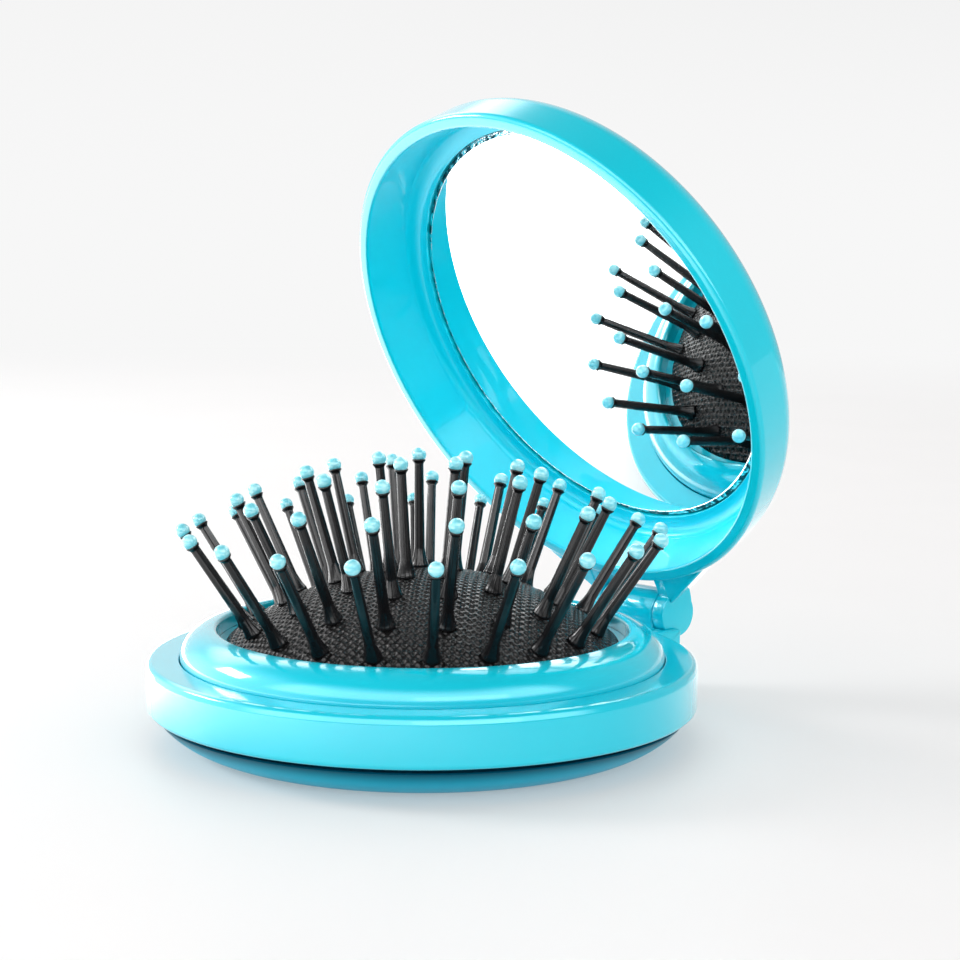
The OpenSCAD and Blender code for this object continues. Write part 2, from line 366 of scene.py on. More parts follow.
@dataclass(frozen=True)
class WovenRubber(Finish):
    """Black rubber moulded on a woven mesh.

    Attributes:
        LEVEL: height of the threads between their crossings, as a share of the relief.
        CROSSING: height that a crossing adds or takes away.
        pitch: distance between neighbouring threads, in millimetres.
        depth: depth of the pits between the threads, in millimetres.
        pit_shade: painted shade at the bottom of the pits.
        dusty: colour of the rubber under dust.
        dust: share of the dust's colour where it lies.
        grain: share of the rubber's fine grain in the relief and in the roughness.
        dull: roughness that the pits add.
    """

    LEVEL = 0.8
    CROSSING = 0.2

    pitch: float = 0.8
    depth: float = 0.2
    pit_shade: Colour = (0.004, 0.004, 0.004)
    dusty: Colour = (0.0268, 0.02608, 0.0268)
    dust: float = 0.4
    grain: float = 0.12
    dull: float = 0.25

    @classmethod
    def relief(cls, pit: "Array | Signal", crossing: "Array | Signal") -> "Array | Signal":
        """Height of the weave: the threads' level, less the pits, and a little for the crossings.

        Args:
            pit: product of the squared sines of both thread phases, 1 in the pits.
            crossing: product of their cosines, 1 or -1 where threads cross.

        Returns:
            The height, from 0 to 1.
        """
        return cls.LEVEL - cls.LEVEL * pit + cls.CROSSING * crossing

    def height(self, x: Array, y: Array) -> Array:
        """Height of the weave over the plane.

        Args:
            x: places along X in millimetres.
            y: places along Y in millimetres.

        Returns:
            The heights in millimetres.
        """
        u, v = math.pi * x / self.pitch, math.pi * y / self.pitch
        pit = np.sin(u) ** 2 * np.sin(v) ** 2
        return self.depth * self.relief(pit, np.cos(u) * np.cos(v))

    def dress(self, graph: Graph) -> Signal:
        """Paints shade into the pits, dulls them, and adds the rubber's own fine grain.

        Args:
            graph: the graph that the nodes are added to.

        Returns:
            The finish's shader.
        """
        place = graph.place()
        x, y, _ = graph.split(place)
        turn = math.pi / (self.pitch * MM)
        u, v = x * turn, y * turn
        pit = (u.sin() * v.sin()) ** 2
        relief = self.relief(pit, u.cos() * v.cos())
        grain = graph.noise(place, per_mm=4.0, detail=3.0, roughness=0.6)
        dust = graph.ramp(graph.noise(place, per_mm=0.9), 0.6, 0.75)
        # Painted shade: the colour darkens into the weave's pits.
        colour = graph.mix(graph.ramp(relief, 0.1, 0.9), self.pit_shade, self.colour)
        colour = graph.mix(dust * self.dust, colour, self.dusty)
        roughness = self.roughness + self.dull * pit + self.grain * grain
        return self.principled(graph, Base_Color=colour, Roughness=roughness, IOR=1.52,
                               Specular_IOR_Level=0.22,
                               Normal=graph.bump(relief + self.grain * grain, self.depth))


@dataclass(frozen=True)
class PinNylon(Finish):
    """Glossy black nylon with the drawn streaks of its mould.

    Attributes:
        streak: roughness that the streaks add.
        depth: depth of the streaks, in millimetres.
    """

    streak: float = 0.1
    depth: float = 0.02

    def dress(self, graph: Graph) -> Signal:
        """Keeps one black, and lets the gloss and the surface waver.

        Args:
            graph: the graph that the nodes are added to.

        Returns:
            The finish's shader.
        """
        place = graph.place()
        streaks = graph.noise(graph.stretched(place, scale=(1, 1, 0.2)), per_mm=1.8)
        grain = graph.noise(place, per_mm=5.0)
        return self.principled(graph, Base_Color=opaque(self.colour), IOR=1.53,
                               Roughness=self.roughness + self.streak * streaks,
                               Specular_IOR_Level=0.28,
                               Normal=graph.bump(streaks + 0.3 * grain, self.depth))


@dataclass(frozen=True)
class BeadResin(Finish):
    """Dipped resin bead, swirled with paler pigment.

    Attributes:
        swirl: colour of the paler pigment.
        dimple: depth of the skin's dimples, in millimetres.
    """

    swirl: Colour = (0.36, 0.78, 0.84)
    dimple: float = 0.05

    def dress(self, graph: Graph) -> Signal:
        """Winds the paler pigment through the bead and dimples its skin.

        Args:
            graph: the graph that the nodes are added to.

        Returns:
            The finish's shader.
        """
        place = graph.place()
        wander = graph.noise(place, per_mm=0.7)
        bands = graph.noise(graph.stretched(place, scale=(1, 1, 2.4)), per_mm=1.1, detail=1.0) + wander
        colour = graph.mix(graph.ramp(bands, 0.85, 1.25), self.colour, self.swirl)
        return self.principled(graph, Base_Color=colour, Roughness=self.roughness + 0.1 * wander,
                               IOR=1.5, Coat_Weight=0.5, Coat_Roughness=0.05,
                               Normal=graph.bump(graph.noise(place, per_mm=1.6), self.dimple))


@dataclass(frozen=True)
class SilveredGlass(Finish):
    """Silvered mirror glass with a ground bevel.

    Attributes:
        RIM: name of the mesh attribute that is 1 on the bevel and the edge.
        ground: colour of the dark patches on the bevel between its glints, painted shade and painted dark
            reflections.
        glint: colour of its glints.
        rough: roughness that the grinding adds.
        chip: depth of the grinding's chips, in millimetres.
    """

    RIM = "rim"

    ground: Colour = (0.02, 0.06, 0.07)
    glint: Colour = (0.95, 0.96, 0.96)
    rough: float = 0.1
    chip: float = 0.3

    def dress(self, graph: Graph) -> Signal:
        """Keeps the face clean, and grinds the bevel and paints dark patches of shade on it.

        Args:
            graph: the graph that the nodes are added to.

        Returns:
            The finish's shader.
        """
        place, rim = graph.place(), graph.attribute(self.RIM)
        chips = graph.noise(place, per_mm=0.9, detail=3.0, roughness=0.7)
        haze = graph.noise(place, per_mm=0.03, detail=3.0)
        # Painted shade and reflection: dark patches between the silver glints on the bevel.
        bevel = graph.mix(graph.ramp(chips, 0.44, 0.56), self.ground, self.glint)
        roughness = self.roughness + 0.015 * haze + self.rough * chips * rim
        return self.principled(graph, Base_Color=graph.mix(rim, self.colour, bevel), Metallic=1.0,
                               Roughness=roughness, Normal=graph.bump(chips * rim, self.chip))


@dataclass(frozen=True)
class DrawnSteel(Finish):
    """Steel wire with drawing lines along X.

    Attributes:
        drawn: colour in the lines.
        depth: depth of the lines, in millimetres.
    """

    drawn: Colour = (0.42, 0.42, 0.43)
    depth: float = 0.01

    def dress(self, graph: Graph) -> Signal:
        """Draws fine lines along the wire.

        Args:
            graph: the graph that the nodes are added to.

        Returns:
            The finish's shader.
        """
        lines = graph.noise(graph.stretched(graph.place(), scale=(0.05, 1, 1)), per_mm=8.0)
        colour = graph.mix(graph.ramp(lines, 0.3, 0.7), self.colour, self.drawn)
        return self.principled(graph, Base_Color=colour, Metallic=1.0,
                               Roughness=self.roughness + 0.2 * lines,
                               Normal=graph.bump(lines, self.depth))


@dataclass(frozen=True)
class AdhesiveTape(Finish):
    """White adhesive tape with a fibrous body.

    Attributes:
        fibre: colour of the fibres.
        depth: depth of the relief, in millimetres.
    """

    fibre: Colour = (0.62, 0.61, 0.58)
    depth: float = 0.04

    def dress(self, graph: Graph) -> Signal:
        """Mottles the tape with short fibres.

        Args:
            graph: the graph that the nodes are added to.

        Returns:
            The finish's shader.
        """
        along = graph.stretched(graph.place(), scale=(1, 6, 1), turn=(0, 0, 0.5))
        fibres = graph.noise(along, per_mm=0.9, detail=3.0)
        colour = graph.mix(graph.ramp(fibres, 0.3, 0.8), self.colour, self.fibre)
        return self.principled(graph, Base_Color=colour, Roughness=self.roughness,
                               Normal=graph.bump(fibres, self.depth))


@dataclass(frozen=True)
class StudioFloor(Finish):
    """Pale floor that turns into the studio's own white further out.

    Attributes:
        near: radius in metres inside which the floor takes light and shade.
        far: radius beyond which it only shines like the background.
        glow: brightness of the background.
        veil: share of the background's white in the floor near the brush.
        gleam: brightness of the floor's painted glow on the window's side, which only glossy surfaces
            mirror.
        gleam_r: radii between which the floor starts to shine in glossy surfaces.
        shine_x: range to the left, in metres, over which that shine comes up from the right.
        window_x: range over which the window's share of it comes up.
        mottle: how bright the darker patches are against the others.
    """

    near: float = 0.33
    far: float = 0.9
    glow: float = 0.93
    veil: float = 0.32
    gleam: float = 5.5
    gleam_r: Point = (0.036, 0.075)
    shine_x: Point = (-0.12, 0.0)
    window_x: Point = (-0.05, 0.09)
    mottle: float = 0.985

    def dress(self, graph: Graph) -> Signal:
        """Mixes the lit floor with the background's white by the distance from the middle.

        Glossy surfaces also mirror a shine, a painted glow of the floor, which comes up towards the
        window's side, and over gleam_r, so that the underside of the brush mirrors little of it.

        Args:
            graph: the graph that the nodes are added to.

        Returns:
            The finish's shader.
        """
        place = graph.place()
        distance = graph.node("ShaderNodeVectorMath", {"operation": "LENGTH"}, {0: place}, "Value")
        patches = graph.ramp(graph.noise(place, per_mm=0.02), 0.3, 0.7)
        colour = graph.mix(patches, self.colour, tuple(self.mottle * part for part in self.colour))
        lit = self.principled(graph, Base_Color=colour, Roughness=self.roughness)
        x, y, _ = graph.split(place)
        azimuth = math.radians(Studio.azimuth_deg)
        leftward = -1 * (x * math.cos(azimuth) + y * math.sin(azimuth))
        window = self.gleam * graph.ramp(leftward, *self.window_x)
        shine = graph.ramp(leftward, *self.shine_x) + window
        # Painted light: the floor glows for glossy rays only, brighter on the window's side.
        mirrored = graph.node("ShaderNodeLightPath", output="Is Glossy Ray")
        gleam = graph.emission(mirrored * graph.ramp(distance, *self.gleam_r) * shine)
        bright = graph.node("ShaderNodeAddShader", None, {0: lit, 1: gleam})
        share = self.veil + (1 - self.veil) * graph.ramp(distance, self.near, self.far)
        return graph.node("ShaderNodeMixShader", None,
                          {0: share, 1: bright, 2: graph.emission(self.glow)})


# ---------------------------------------------------------------- surfaces


def new_object(name: str, data: bpy.types.ID) -> bpy.types.Object:
    """Makes an object and links it to the scene.

    Args:
        name: name of the object.
        data: its mesh, light or camera.

    Returns:
        The object.
    """
    made = bpy.data.objects.new(name, data)
    bpy.context.scene.collection.objects.link(made)
    return made


def smooth(mesh: bpy.types.Mesh, crease_deg: float) -> None:
    """Shades a mesh smooth, apart from its creases.

    Args:
        mesh: the mesh.
        crease_deg: angle between two faces above which their edge stays sharp.
    """
    mesh.polygons.foreach_set("use_smooth", np.ones(len(mesh.polygons), bool))
    mesh.set_sharp_from_angle(angle=math.radians(crease_deg))
    mesh.update()


@dataclass
class Skin:
    """A surface in millimetres.

    Attributes:
        points: its points, one row each.
        faces: arrays of corner numbers, one row for each triangle or quad.
    """

    points: Array
    faces: list[Array]

    def volume(self) -> float:
        """Adds up the boxes spanned by the corners of each triangle.

        Returns:
            Six times the volume inside, below zero where the faces point inwards.
        """
        total = 0.0
        for faces in self.faces:
            corners = self.points[faces]
            for k in range(1, faces.shape[1] - 1):
                crossed = np.cross(corners[:, k], corners[:, k + 1])
                total += float((corners[:, 0] * crossed).sum())
        return total

    def moved(self, turn: Array, shift: Array | float = 0.0) -> "Skin":
        """The surface turned by a matrix and then shifted."""
        return Skin(self.points @ turn.T + shift, self.faces)

    def piece(self, name: str, crease_deg: float = CREASE_DEG) -> bpy.types.Object:
        """Makes a Blender object whose faces point outwards.

        Args:
            name: name of the object.
            crease_deg: angle between two faces above which their edge stays sharp.

        Returns:
            The object.
        """
        faces = self.faces if self.volume() > 0 else [rows[:, ::-1] for rows in self.faces]
        mesh = bpy.data.meshes.new(name)
        mesh.from_pydata(self.points * MM, [], [row for rows in faces for row in rows.tolist()])
        mesh.validate()
        smooth(mesh, crease_deg)
        return new_object(name, mesh)


def grid_faces(rows: int, columns: int, closed: bool = False, wrapped: bool = True) -> Array:
    """Quads between the rows and columns of a grid of points.

    Args:
        rows: number of rows.
        columns: number of columns.
        closed: whether the last row joins the first.
        wrapped: whether the last column joins the first.

    Returns:
        The corner numbers, one row for each quad.
    """
    row = np.arange(rows if closed else rows - 1)[:, None]
    column = np.arange(columns if wrapped else columns - 1)[None, :]
    right, below = (column + 1) % columns, (row + 1) % rows
    return np.stack([row * columns + column, row * columns + right,
                     below * columns + right, below * columns + column], -1).reshape(-1, 4)


def fan(loop: Array, middle: int) -> Array:
    """Triangles from the points of a loop to one middle point."""
    return np.stack([loop, np.roll(loop, -1), np.full_like(loop, middle)], -1)


def curve(start: Array, pull: Array, end: Array, t: Array) -> Array:
    """Points at shares t of a quadratic curve, which leaves start towards pull and arrives at end."""
    return (1 - t) ** 2 * start + 2 * t * (1 - t) * pull + t ** 2 * end


def directions(steps: int) -> Array:
    """Unit vectors (cos t, sin t), with t in even steps round a circle."""
    t = np.arange(steps) * (2 * math.pi / steps)
    return np.stack([np.cos(t), np.sin(t)], -1)


def carried(rows: Array, ring: Array) -> Array:
    """Carries each row (r, z) along each direction (c, s) of a ring, to (r c, r s, z).

    Args:
        rows: the rows.
        ring: the directions.

    Returns:
        The points, one row's after the other's.
    """
    heights = np.broadcast_to(rows[:, None, 1:], (len(rows), len(ring), 1))
    return np.concatenate([rows[:, None, :1] * ring, heights], -1).reshape(-1, 3)


class Outline:
    """An outline in radius and height, put together from straight runs, arcs and bends.

    Attributes:
        SUPPORT: distance of a support point from the end of its run.
        SUPPORT_SHARE: the most that this may be, as a share of the run.
        SAME: distance under which two points count as one, or a point as on the axis.
        runs: the points of each run so far.
    """

    SUPPORT = 0.12
    SUPPORT_SHARE = 0.3
    SAME = 1e-5

    def __init__(self, radius: float, height: float) -> None:
        """Starts the outline at a point."""
        self.runs = [np.array([[radius, height]])]

    def line(self, *targets: Point) -> "Outline":
        """Adds straight runs, each with a support point near both of its ends.

        Args:
            targets: where each run ends.

        Returns:
            The outline.
        """
        for target in targets:
            start, end = self.runs[-1][-1], np.array(target, float)
            length = float(np.hypot(*(end - start)))
            near = min(self.SUPPORT_SHARE, self.SUPPORT / max(length, self.SAME))
            shares = np.array([near, 1 - near, 1.0])[:, None]
            self.runs.append(start + (end - start) * shares)
        return self

    def arc(self, centre: Point, half_axes: Point | float, start_deg: float, end_deg: float,
            steps: int = 14) -> "Outline":
        """Adds an arc: the centre plus the half axes times cosine and sine.

        Args:
            centre: its centre.
            half_axes: the half axes of an ellipse, or the radius of a circle.
            start_deg: angle where it starts, from the outward direction.
            end_deg: angle where it ends.
            steps: number of its steps.

        Returns:
            The outline.
        """
        angles = np.radians(np.linspace(start_deg, end_deg, steps + 1))
        ring = np.stack([np.cos(angles), np.sin(angles)], -1)
        self.runs.append(np.array(centre) + ring * np.array(half_axes))
        return self

    def bend(self, pull: Point, target: Point, steps: int = 20) -> "Outline":
        """Adds a curve from the last point.

        Args:
            pull: where the curve leaves for.
            target: where it arrives.
            steps: number of its steps.

        Returns:
            The outline.
        """
        t = np.linspace(0, 1, steps + 1)[:, None]
        self.runs.append(curve(self.runs[-1][-1], np.array(pull), np.array(target), t))
        return self

    def points(self) -> Array:
        """Joins the runs.

        Returns:
            The outline's points, each once.
        """
        every = np.concatenate(self.runs)
        step = np.hypot(*(every - np.roll(every, 1, axis=0)).T)
        return every[step > self.SAME]


def turned(outline: Outline, columns: int = 288) -> Skin:
    """Carries an outline once round the Z axis.

    The point (r, z) goes to (r cos t, r sin t, z). The surface closes on itself, or in two
    poles where the outline starts and ends on the axis.

    Args:
        outline: the outline, in radius and height.
        columns: number of steps round the axis.

    Returns:
        The closed surface.
    """
    flat = outline.points()
    off_axis = flat[:, 0] > Outline.SAME
    rows = flat[off_axis]
    points = carried(rows, directions(columns))
    if off_axis.all():
        return Skin(points, [grid_faces(len(rows), columns, closed=True)])
    poles = np.array([[0, 0, flat[0, 1]], [0, 0, flat[-1, 1]]])
    first, count = np.arange(columns), len(points)
    return Skin(np.concatenate([points, poles]),
                [grid_faces(len(rows), columns), fan(first[::-1], count),
                 fan(first + count - columns, count + 1)])


def rounded(corners: list[Point], radius: float, steps: int = 6) -> Array:
    """Rounds each corner of a polygon by a bend.

    Args:
        corners: the polygon's corners, anticlockwise.
        radius: how far from its corner each bend starts and ends.
        steps: number of steps in each bend.

    Returns:
        The points of the rounded polygon.
    """
    tips = np.array(corners, float)
    before, after = np.roll(tips, 1, axis=0) - tips, np.roll(tips, -1, axis=0) - tips
    start = tips + before / np.linalg.norm(before, axis=1)[:, None] * radius
    end = tips + after / np.linalg.norm(after, axis=1)[:, None] * radius
    t = np.linspace(0, 1, steps + 1)[:, None, None]
    return curve(start, tips, end, t).transpose(1, 0, 2).reshape(-1, 2)


def block(low: Point, high: Point, radius: float, steps: int = 6) -> Array:
    """A rounded rectangle between its lowest and its highest corner."""
    return rounded([low, (high[0], low[1]), high, (low[0], high[1])], radius, steps)


def bar(section: Array, x0: float, x1: float, edge: float) -> Skin:
    """A prism along X with rounded rims.

    At angle t from 0 to 90 degrees, a rim's row stands edge times (1 - cos t) from the end,
    and its section is drawn in by edge times (1 - sin t) along its normals.

    Args:
        section: points (y, z) of a convex section, anticlockwise.
        x0: where the prism starts.
        x1: where it ends.
        edge: radius of its rims, or 0 for square ends.

    Returns:
        The closed prism.
    """
    rim_steps = 5
    along = np.roll(section, -1, axis=0) - np.roll(section, 1, axis=0)
    normals = np.stack([along[:, 1], -along[:, 0]], -1)
    normals /= np.linalg.norm(normals, axis=1)[:, None]
    t = np.linspace(0, math.pi / 2, rim_steps + 1) if edge else np.array([math.pi / 2])
    inset, advance = edge * (1 - np.sin(t)), edge * (1 - np.cos(t))
    x = np.concatenate([x0 + advance, (x1 - advance)[::-1]])
    inset = np.concatenate([inset, inset[::-1]])
    flat = section[None] - normals[None] * inset[:, None, None]
    count, rows = len(section), len(x)
    points = np.concatenate([np.broadcast_to(x[:, None, None], (rows, count, 1)), flat], -1)
    middle = section.mean(axis=0)
    ends = np.array([[x0, *middle], [x1, *middle]])
    loop, total = np.arange(count), rows * count
    return Skin(np.concatenate([points.reshape(-1, 3), ends]),
                [grid_faces(rows, count), fan(loop[::-1], total),
                 fan(loop + total - count, total + 1)])


def combine(body: bpy.types.Object, tool: bpy.types.Object | Skin, join: Join) -> None:
    """Adds a closed solid or skin to a solid, or cuts it out.

    Args:
        body: the solid that changes.
        tool: the one that acts on it, which is used up.
        join: how it acts.
    """
    if isinstance(tool, Skin):
        tool = tool.piece(join.name)
    modifier = body.modifiers.new(join.name, "BOOLEAN")
    modifier.operation = join.value
    modifier.solver = "MANIFOLD"
    modifier.object = tool
    evaluated = body.evaluated_get(bpy.context.evaluated_depsgraph_get())
    mesh = bpy.data.meshes.new_from_object(evaluated)
    body.modifiers.clear()
    body.data = mesh
    smooth(mesh, CREASE_DEG)
    bpy.data.objects.remove(tool)


def mark(piece: bpy.types.Object, name: str, chosen: Array) -> None:
    """Gives a piece's points an attribute that is 1 where they are chosen, and 0 elsewhere."""
    attribute = piece.data.attributes.new(name, "FLOAT", "POINT")
    attribute.data.foreach_set("value", chosen.astype(np.float32))


def dress(piece: bpy.types.Object, finish: Finish) -> None:
    """Gives a piece its finish.

    Args:
        piece: the piece.
        finish: the finish.
    """
    piece.data.materials.clear()
    piece.data.materials.append(finish.material())


def settle(piece: bpy.types.Object, finish: Finish, slot: Slot, body: str, *nodes: str) -> None:
    """Dresses a finished piece and lets it ride on a body.

    Args:
        piece: the piece.
        finish: its finish.
        slot: the record's material slot that the finish stands for; not used.
        body: the body.
        nodes: the construction nodes that it takes the place of.
    """
    dress(piece, finish)
    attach(piece, body)
    if nodes:
        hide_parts(*nodes)
    log.info("%s: %d faces on %s", piece.name, len(piece.data.polygons), body)


def joint(name: str) -> dict:
    """The record's joint of that name."""
    return next(row for row in frame["joints"] if row["name"] == name)


def joint_travel(name: str) -> float:
    """Length of a sliding joint's travel, in millimetres."""
    low, high = joint(name)["range_m"]
    return (high - low) / MM


# ---------------------------------------------------------------- sub-assemblies


@dataclass
class Hinge:
    """The hinge between base and lid, whose axis lies along X.

    Attributes:
        knuckle_r: radius of the knuckles.
        knuckle_x: half the width of the base's middle knuckle.
        ear_x: where each of the lid's ears starts.
        ear_out_x: where each ear ends.
        gap: gap between an ear and the boss that it dips into.
        cheek: thickness of the boss outside the ears.
        bore_r: radius of the bore for the hinge pin.
        bore_end_x: where the bore ends in the closed ear.
        steel: finish of the hinge pin.
    """

    knuckle_r: float = 3.2
    knuckle_x: float = 5.0
    ear_x: float = 5.2
    ear_out_x: float = 7.2
    gap: float = 0.2
    cheek: float = 0.8
    bore_r: float = 0.8
    bore_end_x: float = 6.6
    steel: DrawnSteel = DrawnSteel("drawn_steel", colour=(0.6, 0.6, 0.62), roughness=0.25)

    def __post_init__(self) -> None:
        """Reads the axis and the standing angle from the joint that shuts the lid.

        A point p of the shut lid stands at turn p + shift.
        """
        shutting = joint("lid_close")
        self.y, self.z = (part / MM for part in shutting["pos_m"][1:])
        angle = math.radians(shutting["range_deg"][0])
        self.turn = np.array([[1, 0, 0], [0, math.cos(angle), -math.sin(angle)],
                              [0, math.sin(angle), math.cos(angle)]])
        axis = np.array([0, self.y, self.z])
        self.shift = axis - self.turn @ axis

    def stand(self, piece: bpy.types.Object) -> None:
        """Swings the mesh of a shut piece up to the standing lid, about the hinge's axis."""
        shift = Matrix.Translation(Vector(self.shift * MM))
        piece.data.transform(shift @ Matrix(self.turn.tolist()).to_4x4())

    def knuckle(self, x0: float, x1: float, radius: float, edge: float = 0.0) -> Skin:
        """A cylinder about the hinge's axis."""
        return bar(np.array([self.y, self.z]) + radius * directions(96), x0, x1, edge)

    def dress_pin(self) -> None:
        """Gives the construction model's hinge pin its finish."""
        dress(frame["nodes"]["hinge_pin"], self.steel)


@dataclass
class BaseCase:
    """The lower half of the case: band with its boss, bezel, bottom cover and push plate.

    Attributes:
        hinge: the hinge whose middle knuckle the band carries.
        shell: finish of the case.
        underside: finish of the bottom cover: the shell's plastic made darker as painted shade.
        case_r: outer radius of the band.
        band_in_r: inner radius of the band.
        foot_h: height of the band's lower edge.
        lip_z: height of the band's lip.
        lip_round: radius of the lip.
        lip_slope_deg: lean of the cone that parts the lip into two arcs.
        lip_cone: length of that cone.
        ledge_r: inner radius of the ledge.
        ledge_t: thickness of the ledge.
        bezel_foot_r: radius of the bezel where it stands on the ledge.
        skirt: depth of the bezel's skirt under the lip.
        crest_z: height of the bezel's crest.
        opening_r: radius of the brush opening.
        opening_round: radius of the opening's edge.
        cover_z: underside of the bezel over the sleeve.
        sleeve_r: inner radius of the guide sleeve.
        sleeve_wall: wall of the guide sleeve.
        plate_r: outer radius of the push plate.
        plate_wall: wall of the push plate's rim.
        web_z: height of the plate's floor, which the cushion lies on.
        web_t: thickness of the plate's floor.
        plate_top_z: height of the plate's rim.
        key_z: height of the lower ends of the plate's keys.
        key_w: width of the keys.
        play: play between parts that slide or slip into each other.
    """

    hinge: Hinge
    shell: Finish
    underside: Finish
    case_r: float = CASE_R
    band_in_r: float = 33.0
    foot_h: float = 4.4
    lip_z: float = 10.5
    lip_round: float = 0.7
    lip_slope_deg: float = 20.0
    lip_cone: float = 0.35
    ledge_r: float = 30.9
    ledge_t: float = 1.4
    bezel_foot_r: float = 30.8
    skirt: float = 2.5
    crest_z: float = 14.3
    opening_r: float = 26.1
    opening_round: float = 0.5
    cover_z: float = 12.4
    sleeve_r: float = 27.0
    sleeve_wall: float = 2.0
    plate_r: float = 26.75
    plate_wall: float = 0.6
    web_z: float = 11.6
    web_t: float = 0.65
    plate_top_z: float = 12.35
    key_z: float = 11.55
    key_w: float = 3.0
    play: float = 0.1

    def build(self) -> None:
        """Builds the four mouldings of the base and dresses the clamp ring inside."""
        self.band()
        self.bezel()
        self.bottom_cover()
        self.push_plate()
        dress(frame["nodes"]["cushion_clamp"], self.shell)

    def band(self) -> None:
        """Side band with its lip and ledge, joined to the boss and the middle knuckle behind."""
        edge, ledge_edge, lip = 0.5, 0.15, self.lip_round
        slope, crown_z = math.radians(self.lip_slope_deg), self.lip_z - lip
        drop, inset = self.lip_cone * math.cos(slope), self.lip_cone * math.sin(slope)
        outline = (Outline(self.band_in_r, self.foot_h)
                   .line((self.case_r - edge, self.foot_h))
                   .arc((self.case_r - edge, self.foot_h + edge), edge, -90, 0)
                   .line((self.case_r, crown_z - drop))
                   .arc((self.case_r - lip, crown_z - drop), lip, 0, self.lip_slope_deg, 6)
                   .arc((self.case_r - lip - inset, crown_z), lip, self.lip_slope_deg, 90, 14)
                   .line((self.ledge_r + ledge_edge, self.lip_z))
                   .arc((self.ledge_r + ledge_edge, self.lip_z - ledge_edge), ledge_edge, 90, 180, 5)
                   .line((self.ledge_r, self.lip_z - self.ledge_t),
                         (self.band_in_r, self.lip_z - self.ledge_t), (self.band_in_r, self.foot_h)))
        piece = turned(outline).piece("base_shell_moulding")
        self.add_boss(piece)
        beyond = self.hinge.ear_out_x + self.hinge.cheek + 2
        combine(piece, self.hinge.knuckle(-beyond, beyond, self.hinge.bore_r), Join.CUT)
        settle(piece, self.shell, Slot.SHELL, "base", "base_shell")

    def add_boss(self, band: bpy.types.Object) -> None:
        """Makes the boss with its two cradles for the lid's ears, its lug and the middle knuckle.

        Args:
            band: the band that the boss is joined to.
        """
        hinge, edge, rim = self.hinge, 0.35, 0.3
        inside, foot, top, back = self.case_r - 1.5, self.foot_h + 0.7, self.lip_z - 0.6, hinge.y - 0.4
        half = hinge.ear_out_x + hinge.gap + hinge.cheek
        boss = bar(block((inside, foot), (back, top), edge), -half, half, edge).piece("boss")
        for side in (-1, 1):
            near, far = sorted((side * hinge.knuckle_x, side * (hinge.ear_out_x + hinge.gap)))
            combine(boss, hinge.knuckle(near, far, hinge.knuckle_r + hinge.gap), Join.CUT)
        lug_y = hinge.knuckle_r * 0.9
        lug = block((hinge.y - lug_y, foot), (hinge.y + lug_y, hinge.z), 0.5)
        combine(boss, bar(lug, -hinge.knuckle_x, hinge.knuckle_x, rim), Join.ADD)
        knuckle = hinge.knuckle(-hinge.knuckle_x, hinge.knuckle_x, hinge.knuckle_r, rim)
        combine(boss, knuckle, Join.ADD)
        combine(band, boss, Join.ADD)

    def bezel(self) -> None:
        """Pillow-shaped ring: a quarter ellipse from the ledge up to a small round at the opening."""
        pillow_r, skirt_z = self.opening_r + self.opening_round, self.lip_z - self.skirt
        sleeve_out = self.sleeve_r + self.sleeve_wall + self.play
        outline = (Outline(self.bezel_foot_r, skirt_z)
                   .line((self.bezel_foot_r, self.lip_z))
                   .arc((pillow_r, self.lip_z),
                        (self.bezel_foot_r - pillow_r, self.crest_z - self.lip_z), 0, 90, 40)
                   .arc((pillow_r, self.crest_z - self.opening_round), self.opening_round, 90, 180, 12)
                   .line((self.opening_r, self.cover_z), (sleeve_out, self.cover_z),
                         (sleeve_out, skirt_z), (self.bezel_foot_r, skirt_z)))
        piece = turned(outline, 360).piece("bezel_ring_moulding")
        settle(piece, self.shell, Slot.SHELL, "base", "bezel_ring")

    def bottom_cover(self) -> None:
        """Bowl under the band, with the ring that the brush stands on and the slotted guide sleeve."""
        rim_r, spigot_r, wall, spigot_h = self.case_r - 1.2, self.band_in_r - self.play, 1.3, 1.5
        foot_r, foot_round, edge = self.sleeve_r + 1.1, 0.25, 0.15
        seam_z, spigot_z = self.foot_h - 0.6, self.foot_h + spigot_h
        belly_r, belly_z = rim_r - 2.2, self.foot_h * 0.2
        sleeve_out = self.sleeve_r + self.sleeve_wall
        outline = (Outline(self.sleeve_r, foot_round)
                   .arc((self.sleeve_r + foot_round, foot_round), foot_round, 180, 270, 5)
                   .line((foot_r, 0))
                   .bend((belly_r, belly_z), (rim_r, seam_z - edge), 32)
                   .line((rim_r - edge, seam_z), (spigot_r, seam_z), (spigot_r, spigot_z),
                         (spigot_r - wall, spigot_z), (spigot_r - wall, self.foot_h))
                   .bend((belly_r - wall / 2, belly_z + wall), (sleeve_out, wall))
                   .line((sleeve_out, self.cover_z), (self.sleeve_r, self.cover_z),
                         (self.sleeve_r, foot_round)))
        piece = turned(outline).piece("bottom_cover_moulding")
        slot_foot, slot_depth = self.key_z - joint_travel("cushion_slide") - self.play, 0.95
        slot_w = self.key_w + 2 * self.play
        slot = block((self.sleeve_r - 1, slot_foot), (self.sleeve_r + slot_depth, self.crest_z), 0.1, 2)
        self.combine_at_keys(piece, bar(slot, -slot_w / 2, slot_w / 2, 0), Join.CUT)
        settle(piece, self.underside, Slot.SHELL, "base", "bottom_cover")

